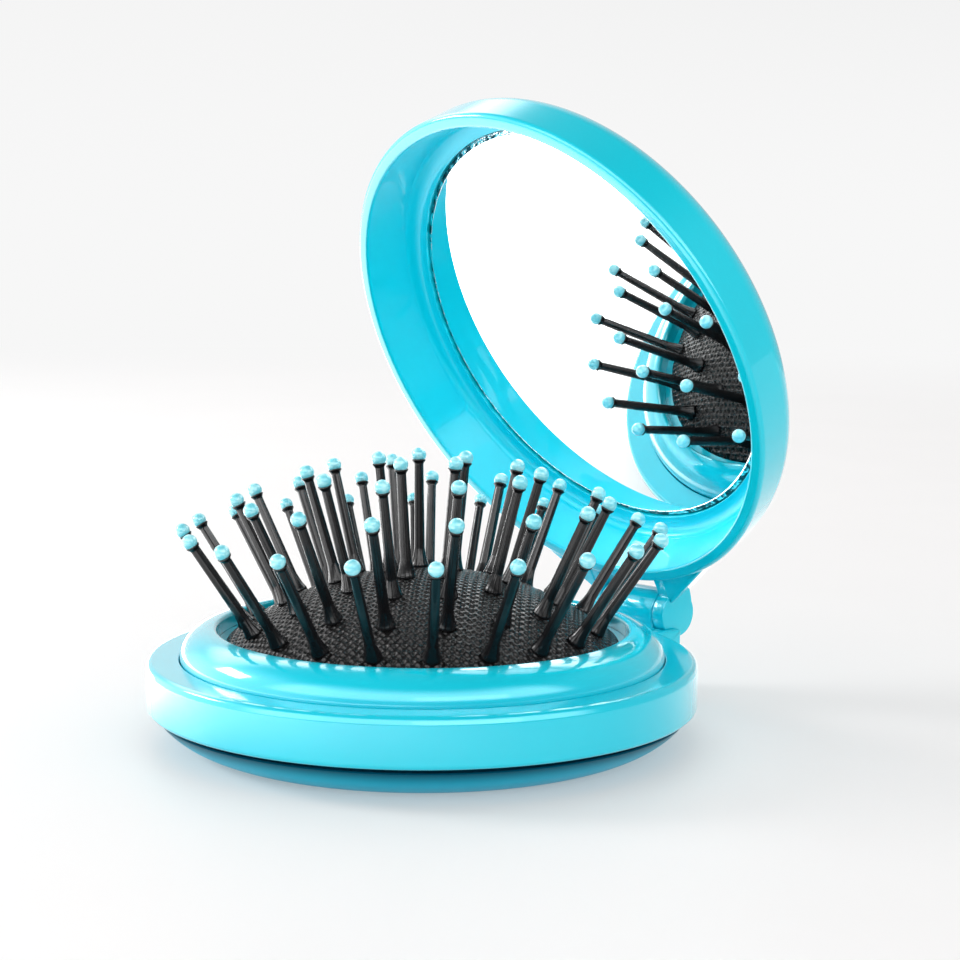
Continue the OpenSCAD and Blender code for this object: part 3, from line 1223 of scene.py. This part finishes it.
    def push_plate(self) -> None:
        """Thumb plate: a thin disc with a rolled thumb ring underneath, a rim wall and three keys."""
        under, tray_r, edge = self.web_z - self.web_t, self.plate_r - self.plate_wall, 0.3
        ring_r, ring_w, ring_h = 19.0, 0.9, 0.3
        outline = (Outline(0, under)
                   .line((ring_r - ring_w, under))
                   .bend((ring_r - ring_w / 2, under), (ring_r - ring_w / 4, under + ring_h / 2), 8)
                   .bend((ring_r, under + ring_h), (ring_r + ring_w / 4, under + ring_h / 2), 10)
                   .bend((ring_r + ring_w / 2, under), (ring_r + ring_w, under), 8)
                   .line((self.plate_r - edge, under))
                   .arc((self.plate_r - edge, under + edge), edge, -90, 0, 8)
                   .line((self.plate_r, self.plate_top_z), (tray_r, self.plate_top_z),
                         (tray_r, self.web_z), (0, self.web_z)))
        piece = turned(outline).piece("push_plate_moulding")
        key_root, key_tip, key_round = self.plate_r - 0.3, self.plate_r + 1, 0.12
        key = block((key_root, self.key_z), (key_tip, self.plate_top_z), key_round, 3)
        self.combine_at_keys(piece, bar(key, -self.key_w / 2, self.key_w / 2, key_round), Join.ADD)
        settle(piece, self.shell, Slot.SHELL, "brush_carrier", "push_plate")

    @staticmethod
    def combine_at_keys(piece: bpy.types.Object, skin: Skin, join: Join) -> None:
        """Turns a skin from the Y axis to each of the three keys and combines it with a piece.

        Args:
            piece: the piece.
            skin: the key or slot.
            join: what is done with it.
        """
        for k in range(3):
            angle = math.radians(120 * (k + 1) - 90)
            turn = np.array([[math.cos(angle), -math.sin(angle), 0],
                             [math.sin(angle), math.cos(angle), 0], [0, 0, 1]])
            combine(piece, skin.moved(turn), join)


@dataclass
class Dome:
    """The cushion's dome, part of a sphere that every pin stands square on.

    Attributes:
        edge_r: radius of the cushion's edge.
        rise: height of the dome over its edge.
    """

    edge_r: float = 24.85
    rise: float = 8.7

    def __post_init__(self) -> None:
        """Works out the sphere through the edge and the top of the construction's cushion."""
        top_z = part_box("cushion")[1].z / MM
        self.radius = (self.edge_r ** 2 + self.rise ** 2) / (2 * self.rise)
        self.middle_z = top_z - self.radius
        self.rim_z = top_z - self.rise

    def height(self, radius: Array | float, under: float = 0.0) -> Array | float:
        """Height at a radius from the axis, on the dome or on a sphere that lies under it."""
        return self.middle_z + np.sqrt((self.radius - under) ** 2 - radius * radius)


@dataclass
class Cushion:
    """The domed rubber sheet with its woven texture.

    Attributes:
        dome: the dome that it follows.
        rubber: its finish, which also gives the weave's relief.
        thickness: thickness of the sheet.
        flange_r: outer radius of the flange under the clamp ring.
        flange_t: thickness of the flange.
        edge_round: how far inside its edge the top starts to round off.
        fade: width of the ring over which the weave fades out towards that round.
        cells: quads along each side of the woven top.
    """

    dome: Dome
    rubber: WovenRubber
    thickness: float = 0.9
    flange_r: float = 26.05
    flange_t: float = 0.35
    edge_round: float = 0.35
    fade: float = 0.4
    cells: int = 268

    def build(self) -> None:
        """Builds the sheet, lets it ride on the brush carrier and gives it a mesh of its own."""
        piece = self.sheet().piece("cushion_rubber", 60)
        settle(piece, self.rubber, Slot.CUSHION, "brush_carrier", "cushion")
        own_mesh(piece)

    def sheet(self) -> Skin:
        """A closed skin: the woven top, and rows round the edge, the flange and the underside.

        The top is a square grid carried to the disc, where (a, b) goes to
        (a sqrt(1 - b*b/2), b sqrt(1 - a*a/2)), raised to the sphere and then by the weave.

        Returns:
            The skin.
        """
        dome, count = self.dome, self.cells + 1
        top_r = dome.edge_r - self.edge_round
        a, b = np.meshgrid(np.linspace(-1, 1, count), np.linspace(-1, 1, count))
        x, y = top_r * a * np.sqrt(1 - b * b / 2), top_r * b * np.sqrt(1 - a * a / 2)
        radius = np.hypot(x, y)
        relief = self.rubber.height(x, y) - self.rubber.depth
        fade = np.clip((top_r - radius) / self.fade, 0, 1)
        top = np.stack([x, y, dome.height(radius) + relief * fade], -1).reshape(-1, 3)
        numbers = np.arange(count * count).reshape(count, count)
        loop = np.concatenate([numbers[0, :-1], numbers[:-1, -1], numbers[-1, :0:-1], numbers[:0:-1, 0]])
        ring = top[loop, :2] / np.linalg.norm(top[loop, :2], axis=1)[:, None]
        rows = self.border_rows(top_r)
        middle = np.array([[0, 0, dome.height(0.0, self.thickness)]])
        points = np.concatenate([top, carried(rows, ring), middle])
        first = len(top) + np.arange(len(loop))
        last = first + (len(rows) - 1) * len(loop)
        seam = np.stack([loop, np.roll(loop, -1), np.roll(first, -1), first], -1)
        return Skin(points, [grid_faces(count, count, wrapped=False), seam[:, ::-1],
                             (grid_faces(len(rows), len(loop)) + len(top))[:, ::-1],
                             fan(last, len(points) - 1)[:, ::-1]])

    def border_rows(self, top_r: float) -> Array:
        """Rows from the woven top over the edge and the flange to the underside.

        Args:
            top_r: radius of the woven top.

        Returns:
            The rows' radii and heights.
        """
        dome, edge_r = self.dome, self.dome.edge_r
        flange_z = dome.rim_z - self.thickness - 0.1
        flange_top = flange_z + self.flange_t
        start, pull, end = (np.array(point) for point in (
            (top_r, dome.height(top_r)), (edge_r, dome.rim_z + 0.05), (edge_r, dome.rim_z - 0.3)))
        edge = curve(start, pull, end, np.linspace(0, 1, 7)[1:, None])
        flange = np.array([[edge_r, flange_top], [self.flange_r, flange_top], [self.flange_r, flange_z]])
        foot_r = math.sqrt((dome.radius - self.thickness) ** 2 - (flange_z - dome.middle_z) ** 2)
        under_r = np.linspace(foot_r, 2.0, 14)
        return np.concatenate([edge, flange, np.stack([under_r, dome.height(under_r, self.thickness)], -1)])


@dataclass
class BrushPins:
    """The fifty pins: shanks with flared boots and dipped beads on their tips.

    Attributes:
        dome: the dome that they stand on.
        nylon: finish of the shanks.
        resin: finish of the beads.
        length: from the cushion to the middle of the bead.
        bead_r: radius of the bead.
        root_r: radius of the shank at its root.
        tip_r: radius of the shank under its cup.
        boot_r: radius of the boot on the cushion.
        boot_h: height of the boot.
        sunk: depth of the foot in the rubber.
        ridge: height of the parting ridges.
        ridge_w: width of a ridge, as a share of the shank's radius.
        crowding: how much closer the steps lie near the ridges.
        swell: share by which each wave moves a bead's skin.
        seed: seed of the small differences between pins.
    """

    dome: Dome
    nylon: Finish
    resin: Finish
    length: float = 14.4
    bead_r: float = 0.95
    root_r: float = 0.67
    tip_r: float = 0.58
    boot_r: float = 1.22
    boot_h: float = 2.4
    sunk: float = 0.75
    ridge: float = 0.05
    ridge_w: float = 0.09
    crowding: float = 0.38
    swell: float = 0.012
    seed: int = 7

    def build(self) -> None:
        """Builds a shank and a bead for each of the record's tilting pins."""
        draw = np.random.default_rng(self.seed)
        for row in frame["joints"]:
            if not row["name"].endswith("_tilt"):
                continue
            node = row["name"].removesuffix("_tilt")
            turn, root = self.stance(row, draw.uniform(0, 360))
            shank = self.shank().moved(turn, root).piece(f"{node}_shank", 50)
            settle(shank, self.nylon, Slot.PIN, row["child"], node)
            bead = self.bead(draw).moved(turn, root).piece(f"{node}_bead", 80)
            settle(bead, self.resin, Slot.PIN_TIP, row["child"])

    def stance(self, row: dict, spin_deg: float) -> tuple[Array, Array]:
        """Where a pin stands.

        Args:
            row: the pin's joint, whose range is the pin's tilt and whose axis lies square to it.
            spin_deg: turn of the pin about its own axis.

        Returns:
            The turn that carries +Z to the pin's direction, and the place of its root.
        """
        tilt = math.radians(row["range_deg"][1])
        azimuth = math.atan2(row["axis"][0], -row["axis"][1])
        turn = np.array(Matrix.Rotation(azimuth, 3, "Z") @ Matrix.Rotation(tilt, 3, "Y")
                        @ Matrix.Rotation(math.radians(spin_deg), 3, "Z"))
        return turn, np.array([0, 0, self.dome.middle_z]) + turn @ [0, 0, self.dome.radius]

    def shank(self) -> Skin:
        """Foot, boot, tapering shank and cup, with a parting ridge down both sides.

        The radius at a step round the pin is widened by ridge times exp(-(s / ridge_w)**2),
        where s is the sine of the angle from the ridge. The steps lie closer near the ridges,
        which run from the boot up and leave the closed ends out.

        Returns:
            The closed skin, with its root at the origin and its tip along +Z.
        """
        foot_r, boot_top, neck_r = self.root_r + 0.33, self.root_r + 0.02, self.tip_r + 0.01
        cup_z = self.length - self.bead_r * 0.7 - 0.45
        cup_top = cup_z + 0.5
        outline = (Outline(0, -self.sunk)
                   .line((foot_r, -self.sunk), (foot_r, -0.1), (self.boot_r - 0.12, -0.06))
                   .bend((self.boot_r + 0.02, 0.0), (self.boot_r - 0.05, 0.3), 6)
                   .bend((boot_top + 0.18, self.boot_h * 0.42), (boot_top, self.boot_h), 12)
                   .line((neck_r, cup_z - 0.1))
                   .bend((neck_r, cup_z + 0.05), (self.bead_r - 0.1, cup_z + 0.36), 6)
                   .bend((self.bead_r - 0.02, cup_top), (self.bead_r - 0.14, cup_top + 0.06), 4)
                   .line((0, cup_top)))
        skin = turned(outline, 32)
        x, y, z = skin.points.T
        radius, angle = np.hypot(x, y), np.arctan2(y, x)
        angle = angle - self.crowding * np.sin(2 * angle)
        ridged = (z > 0.5) & (radius > 0.3)
        radius = radius + self.ridge * np.exp(-(np.sin(angle) / self.ridge_w) ** 2) * ridged
        return Skin(np.stack([radius * np.cos(angle), radius * np.sin(angle), z], -1), skin.faces)

    def bead(self, draw: np.random.Generator) -> Skin:
        """A slightly uneven ball: each point is moved out or in by three gentle waves.

        Args:
            draw: the generator of the waves' directions and phases.

        Returns:
            The closed skin, in its place over a pin's root at the origin.
        """
        radius = self.bead_r
        ball = turned(Outline(0, -radius).arc((0, 0), radius, -85, 85, 16).line((0, radius)), 24)
        unit = ball.points / np.linalg.norm(ball.points, axis=1)[:, None]
        waves = draw.normal(loc=0, scale=1.6, size=(3, 3))
        phases = draw.uniform(0, 2 * math.pi, 3)
        uneven = np.sin(unit @ waves.T + phases).sum(axis=1)
        points = unit * radius * (1 + self.swell * uneven)[:, None]
        return Skin(points + [0, 0, self.length], ball.faces)


@dataclass
class Lid:
    """The upper half of the case with its mirror, drawn as it lies when the lid is shut.

    Attributes:
        hinge: the hinge that its ears turn on.
        shell: finish of the case.
        glass: finish of the mirror.
        tape: finish of the adhesive pad.
        case_r: outer radius.
        lip_z: height of the lip.
        height: height of the lid over its lip.
        dish: depth of the mirror's face behind the lip.
        lip_w: width of the lip.
        lip_round: radius of the lip's outer edge.
        inner_round: radius of the lip's inner edge.
        draft: how far the outer and inner walls lean in over their height.
        fillet: height of the fillet at the foot of the inner wall.
        fillet_w: width of that fillet.
        crown: rise of the lid's back from its shoulder to its middle.
        mirror_r: radius of the mirror.
        mirror_t: thickness of the glass.
        bevel_w: width of the glass's bevel.
        bevel_t: height of the bevel.
        pad_t: thickness of the pad behind it.
    """

    hinge: Hinge
    shell: Finish
    glass: SilveredGlass
    tape: Finish
    case_r: float = CASE_R
    lip_z: float = 10.65
    height: float = 10.5
    dish: float = 8.3
    lip_w: float = 1.9
    lip_round: float = 0.7
    inner_round: float = 0.5
    draft: Point = (0.25, 0.95)
    fillet: float = 1.7
    fillet_w: float = 2.6
    crown: float = 0.5
    mirror_r: float = 29.2
    mirror_t: float = 1.0
    bevel_w: float = 0.7
    bevel_t: float = 0.3
    pad_t: float = 0.3

    def build(self) -> None:
        """Builds the shell and the mirror, and dresses the pad between them."""
        self.case()
        self.mirror()
        dress(frame["nodes"]["mirror_pad"], self.tape)

    def case(self) -> None:
        """Deep shell with its two ears and their gussets, bored for the hinge pin."""
        hinge, reach, ear_r = self.hinge, self.hinge.z + self.hinge.knuckle_r, self.case_r - 1.2
        piece = turned(self.outline(), 360).piece("lid_shell_moulding")
        ear = rounded([(ear_r, self.lip_z + 0.5), (hinge.y - hinge.knuckle_r, hinge.z - 0.5),
                       (hinge.y, hinge.z), (hinge.y, reach), (hinge.y - 1.2, reach + 0.3),
                       (ear_r, reach + 0.9)], 0.3, 4)
        for side in (-1, 1):
            near, far = sorted((side * hinge.ear_x, side * hinge.ear_out_x))
            tab = bar(ear, near, far, 0.2).piece("ear")
            combine(tab, hinge.knuckle(near, far, hinge.knuckle_r, 0.2), Join.ADD)
            combine(piece, tab, Join.ADD)
            combine(piece, self.gusset(side), Join.ADD)
        combine(piece, hinge.knuckle(-hinge.ear_out_x - 1, hinge.bore_end_x, hinge.bore_r), Join.CUT)
        self.mark_inside(piece)
        hinge.stand(piece)
        settle(piece, self.shell, Slot.SHELL, "lid", "lid_shell")

    def outline(self) -> Outline:
        """Pocket for the pad and the glass, filleted inner wall, rounded lip, shoulder and crown.

        The shoulder is a quarter ellipse, and the crown rises by its height times 1 - (r / R)**2,
        where R is the shoulder's inner radius.

        Returns:
            The shell's outline.
        """
        pocket_r, pocket_z = self.mirror_r + 0.2, self.pocket_z()
        floor_z, floor_edge = self.lip_z + self.dish - 0.15, 0.1
        inner_r, wall_r = self.case_r - self.lip_w, self.case_r - self.draft[0]
        fillet_r = inner_r - self.draft[1] - self.fillet_w
        shoulder_r, shoulder_z = self.case_r - 7.5, self.lip_z + self.height * 0.47
        crown_z = self.lip_z + self.height - self.crown
        outline = (Outline(0, pocket_z)
                   .line((pocket_r, pocket_z), (pocket_r, floor_z + floor_edge))
                   .arc((pocket_r + floor_edge, floor_z + floor_edge), floor_edge, 180, 270, 4)
                   .arc((fillet_r, floor_z - self.fillet), (self.fillet_w, self.fillet), 90, 0, 26)
                   .line((inner_r, self.lip_z + self.inner_round))
                   .arc((inner_r + self.inner_round, self.lip_z + self.inner_round), self.inner_round,
                        180, 270, 10)
                   .arc((self.case_r - self.lip_round, self.lip_z + self.lip_round), self.lip_round, -90, 0)
                   .line((wall_r, shoulder_z))
                   .arc((shoulder_r, shoulder_z), (wall_r - shoulder_r, crown_z - shoulder_z), 0, 90, 36))
        crown_r = np.linspace(shoulder_r, 0, 14)[1:]
        rise = self.crown * (1 - (crown_r / shoulder_r) ** 2)
        outline.runs.append(np.stack([crown_r, crown_z + rise], -1))
        return outline

    def pocket_z(self) -> float:
        """Height of the pocket's floor, which the pad lies on."""
        return self.lip_z + self.dish + self.mirror_t + self.pad_t

    def gusset(self, side: int) -> Skin:
        """Web that spreads from an ear along the wall: a rounded plan drawn up along Z.

        Args:
            side: 1 for the ear at +X, and -1 for the other.

        Returns:
            The closed skin.
        """
        ear, axis, spread, height = self.hinge.ear_out_x, self.hinge.y, 10.5, 4.4
        plan = [(ear - 0.5, self.case_r - 1.6), (ear + spread, self.case_r - 5.4),
                (ear + 0.5, axis - 2.4), (ear - 0.5, axis - 1.8)]
        plan = [(side * x, y) for x, y in plan][::side]
        upright = np.array([[0, 1, 0], [0, 0, 1], [1, 0, 0]])
        top_z, edge = self.hinge.z + height, 0.3
        return bar(rounded(plan, edge, 4), self.lip_z + 0.5, top_z, edge).moved(upright)

    def mark_inside(self, piece: bpy.types.Object) -> None:
        """Marks the points of the shut shell that lie within its inner wall, for the finish.

        Args:
            piece: the shell.
        """
        flat = np.empty(len(piece.data.vertices) * 3)
        piece.data.vertices.foreach_get("co", flat)
        x, y, z = flat.reshape(-1, 3).T / MM
        inner_r = self.case_r - self.lip_w + self.inner_round * 0.4
        mark(piece, GlossyShell.INSIDE, (np.hypot(x, y) < inner_r) & (z < self.pocket_z() + 0.01))

    def mirror(self) -> None:
        """Round glass with a ground bevel, marked on the bevel and the edge for the finish."""
        face_z = self.lip_z + self.dish
        outline = (Outline(0, face_z)
                   .line((self.mirror_r - self.bevel_w, face_z), (self.mirror_r, face_z + self.bevel_t),
                         (self.mirror_r, face_z + self.mirror_t), (0, face_z + self.mirror_t)))
        skin = turned(outline, 360)
        piece = skin.moved(self.hinge.turn, self.hinge.shift).piece("mirror_glass", 12)
        radius = np.hypot(*skin.points[:, :2].T)
        mark(piece, SilveredGlass.RIM, radius > self.mirror_r - self.bevel_w + 0.02)
        settle(piece, self.glass, Slot.MIRROR, "lid", "mirror")


# ---------------------------------------------------------------- studio


@dataclass
class AreaLight:
    """A soft light that faces the brush.

    Attributes:
        name: its name.
        azimuth_deg: its bearing from the brush, turned anticlockwise from the camera's.
        elevation_deg: its height above the floor, as an angle.
        distance: metres from the brush.
        size: width and height of its face in metres.
        power: watts.
    """

    name: str
    azimuth_deg: float
    elevation_deg: float
    distance: float
    size: Point
    power: float

    def build(self, target: Vector, camera_azimuth_deg: float) -> None:
        """Places the light round the brush and turns it to face it.

        Args:
            target: the point that it faces.
            camera_azimuth_deg: the camera's bearing round the brush.
        """
        bearing = math.radians(camera_azimuth_deg - 90 + self.azimuth_deg)
        height = math.radians(self.elevation_deg)
        away = Vector((math.cos(bearing) * math.cos(height), math.sin(bearing) * math.cos(height),
                       math.sin(height)))
        light = bpy.data.lights.new(self.name, "AREA")
        light.shape = "RECTANGLE"
        light.size, light.size_y = self.size
        light.energy = self.power
        made = new_object(self.name, light)
        made.location = target + away * self.distance
        made.rotation_euler = away.to_track_quat("Z", "Y").to_euler()


@dataclass(frozen=True)
class Sky:
    """White surroundings, told apart by what they reach: the camera, glossy surfaces or the rest.

    Left, right and the camera's side are meant as the camera first looks. A step in brightness
    runs smoothly over a range of one part of the direction, such as z, which is up.

    Attributes:
        fade: brightness that the background loses upwards, and as much again on the right.
        right: brightness of the right in glossy surfaces.
        left: brightness that the left adds.
        far_left: brightness that the far left adds to that.
        dark_top: share of these that is missing overhead.
        panel: brightness of the panel over the camera, in glossy surfaces.
        patch: brightness of the patch of sky behind the brush on the left, in glossy surfaces.
        light: brightness that lights everything else.
        dim_top: share of the light that is missing overhead.
    """

    fade: float = 0.05
    right: float = 0.5
    left: float = 0.5
    far_left: float = 2.0
    dark_top: float = 0.7
    panel: float = 4.6
    patch: float = 3.0
    light: float = 1.22
    dim_top: float = 0.38

    def build(self, azimuth_deg: float) -> None:
        """Makes the world.

        Args:
            azimuth_deg: the camera's bearing round the brush.
        """
        world = bpy.data.worlds.new("studio_world")
        world.use_nodes = True
        bpy.context.scene.world = world
        graph = Graph(world.node_tree)
        azimuth = math.radians(azimuth_deg)
        x, y, z = graph.split(graph.node("ShaderNodeTexCoord", output="Generated"))
        rightward = x * math.cos(azimuth) + y * math.sin(azimuth)
        toward = x * math.sin(azimuth) - y * math.cos(azimuth)
        fading = self.fade + self.fade * graph.ramp(rightward, -0.2, 0.25)
        seen = StudioFloor.glow - graph.ramp(z, 0.0, 0.25) * fading
        mirrored = self.mirrored(graph, -1 * rightward, toward, z)
        light = self.light * (1 - self.dim_top * graph.ramp(z, 0.3, 0.9))
        to_camera, to_gloss = graph.siblings(graph.node("ShaderNodeLightPath"),
                                             "Is Camera Ray", "Is Glossy Ray")
        strength = to_camera * seen + to_gloss * mirrored + (1 - to_camera - to_gloss) * light
        shaped = graph.node("ShaderNodeBackground", None,
                            {"Color": opaque(WHITE), "Strength": strength})
        graph.node("ShaderNodeOutputWorld", None, {"Surface": shaped})

    def mirrored(self, graph: Graph, leftward: Signal, toward: Signal, z: Signal) -> Signal:
        """What glossy surfaces mirror.

        Args:
            graph: the graph that the nodes are added to.
            leftward: the direction's part to the left.
            toward: its part to the camera's side.
            z: its part upwards.

        Returns:
            The brightness.
        """
        sides = (self.right + self.left * graph.ramp(leftward, -0.5, 0.2)
                 + self.far_left * graph.ramp(leftward, 0.5, 0.95))
        panel = graph.ramp(toward, 0.15, 0.4) * graph.belt(z, rise=(0.16, 0.36), fall=(0.55, 0.9))
        patch = (graph.ramp(-1 * toward, 0.35, 0.6) * graph.ramp(leftward, 0.0, 0.2)
                 * graph.belt(z, rise=(0.35, 0.55), fall=(0.62, 0.8)))
        sides = sides * (1 - self.dark_top * graph.ramp(z, 0.6, 0.9))
        return sides + self.panel * panel + self.patch * patch


@dataclass
class Studio:
    """Pale floor, white surroundings, soft lights and the camera.

    Attributes:
        camera_place: the camera's place in metres.
        azimuth_deg: the camera's bearing round the brush, with 0 looking along +Y.
        elevation_deg: how far the camera looks down.
        roll_deg: the camera's turn about its own axis.
        focal_mm: focal length on a frame of sensor_mm.
        sensor_mm: width of the frame.
        floor_r: radius of the floor in metres.
        target: the point in metres that the lights face.
        lights: the soft lights.
    """

    camera_place: Place = (0.195725, -0.167775, 0.064198)
    azimuth_deg: float = 47.818
    elevation_deg: float = 6.928
    roll_deg: float = 0.479
    focal_mm: float = 76.92
    sensor_mm: float = 36.0
    floor_r: float = 4.0
    target: Place = (0.0, 0.0, 0.03)
    lights: tuple[AreaLight, ...] = (
        AreaLight("window", azimuth_deg=-104, elevation_deg=24, distance=1.0, size=(0.34, 0.24), power=5.5),
        AreaLight("front_softbox", azimuth_deg=20, elevation_deg=22, distance=0.8, size=(0.6, 0.2),
                  power=0.8),
    )

    def build(self) -> None:
        """Makes everything round the brush."""
        self.camera()
        self.floor()
        Sky().build(self.azimuth_deg)
        for light in self.lights:
            light.build(Vector(self.target), self.azimuth_deg)
        bpy.context.scene.view_settings.view_transform = "Standard"

    def camera(self) -> None:
        """The camera: it looks along minus back, with right and up turned by the roll."""
        a, e, r = (math.radians(v) for v in (self.azimuth_deg, self.elevation_deg, self.roll_deg))
        back = Vector((math.sin(a) * math.cos(e), -math.cos(a) * math.cos(e), math.sin(e)))
        right = Vector((math.cos(a), math.sin(a), 0))
        up = back.cross(right)
        rolled_right = math.cos(r) * right + math.sin(r) * up
        rolled_up = math.cos(r) * up - math.sin(r) * right
        data = bpy.data.cameras.new("camera")
        data.sensor_width = self.sensor_mm
        data.lens = self.focal_mm
        data.clip_start, data.clip_end = 0.01, 20
        made = new_object("camera", data)
        turn = Matrix((rolled_right, rolled_up, back)).transposed().to_4x4()
        made.matrix_world = Matrix.Translation(self.camera_place) @ turn
        bpy.context.scene.camera = made

    def floor(self) -> None:
        """A flat disc under the brush."""
        columns = 64
        ring = carried(np.array([[self.floor_r, 0.0]]), directions(columns))
        mesh = bpy.data.meshes.new("studio_floor")
        mesh.from_pydata(np.concatenate([ring, np.zeros((1, 3))]), [],
                         fan(np.arange(columns), columns).tolist())
        made = new_object("studio_floor", mesh)
        finish = StudioFloor("pale_floor", colour=(0.825, 0.807, 0.802), roughness=0.5)
        mesh.materials.append(finish.material())


def main() -> None:
    """Builds the studio and every piece of the brush in order."""
    logging.basicConfig(level=logging.INFO, format="%(message)s")
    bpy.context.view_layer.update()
    Studio().build()
    shell = GlossyShell("turquoise_abs", colour=(0.003, 0.57, 0.7), roughness=0.12)
    # The bottom cover's plastic is a darker copy of the shell's: painted shade for the underside in the
    # band's shadow.
    underside = SeamShadedShell("seam_shaded_turquoise_abs", colour=(0.001, 0.4, 0.56), roughness=0.3,
                            deep=(0.001, 0.36, 0.52), coat=0.0, shine=0.15)
    rubber = WovenRubber("woven_rubber", colour=(0.007, 0.0067, 0.007), roughness=0.15)
    nylon = PinNylon("black_nylon", colour=(0.006, 0.006, 0.007), roughness=0.11)
    resin = BeadResin("bead_resin", colour=(0.16, 0.62, 0.72), roughness=0.25)
    glass = SilveredGlass("silvered_glass", colour=(0.93, 0.95, 0.95), roughness=0.008)
    tape = AdhesiveTape("adhesive_tape", colour=(0.8, 0.79, 0.76), roughness=0.7)
    hinge, dome = Hinge(), Dome()
    BaseCase(hinge, shell, underside).build()
    Cushion(dome, rubber).build()
    BrushPins(dome, nylon, resin).build()
    Lid(hinge, shell, glass, tape).build()
    hinge.dress_pin()


if __name__ == "__main__":
    main()
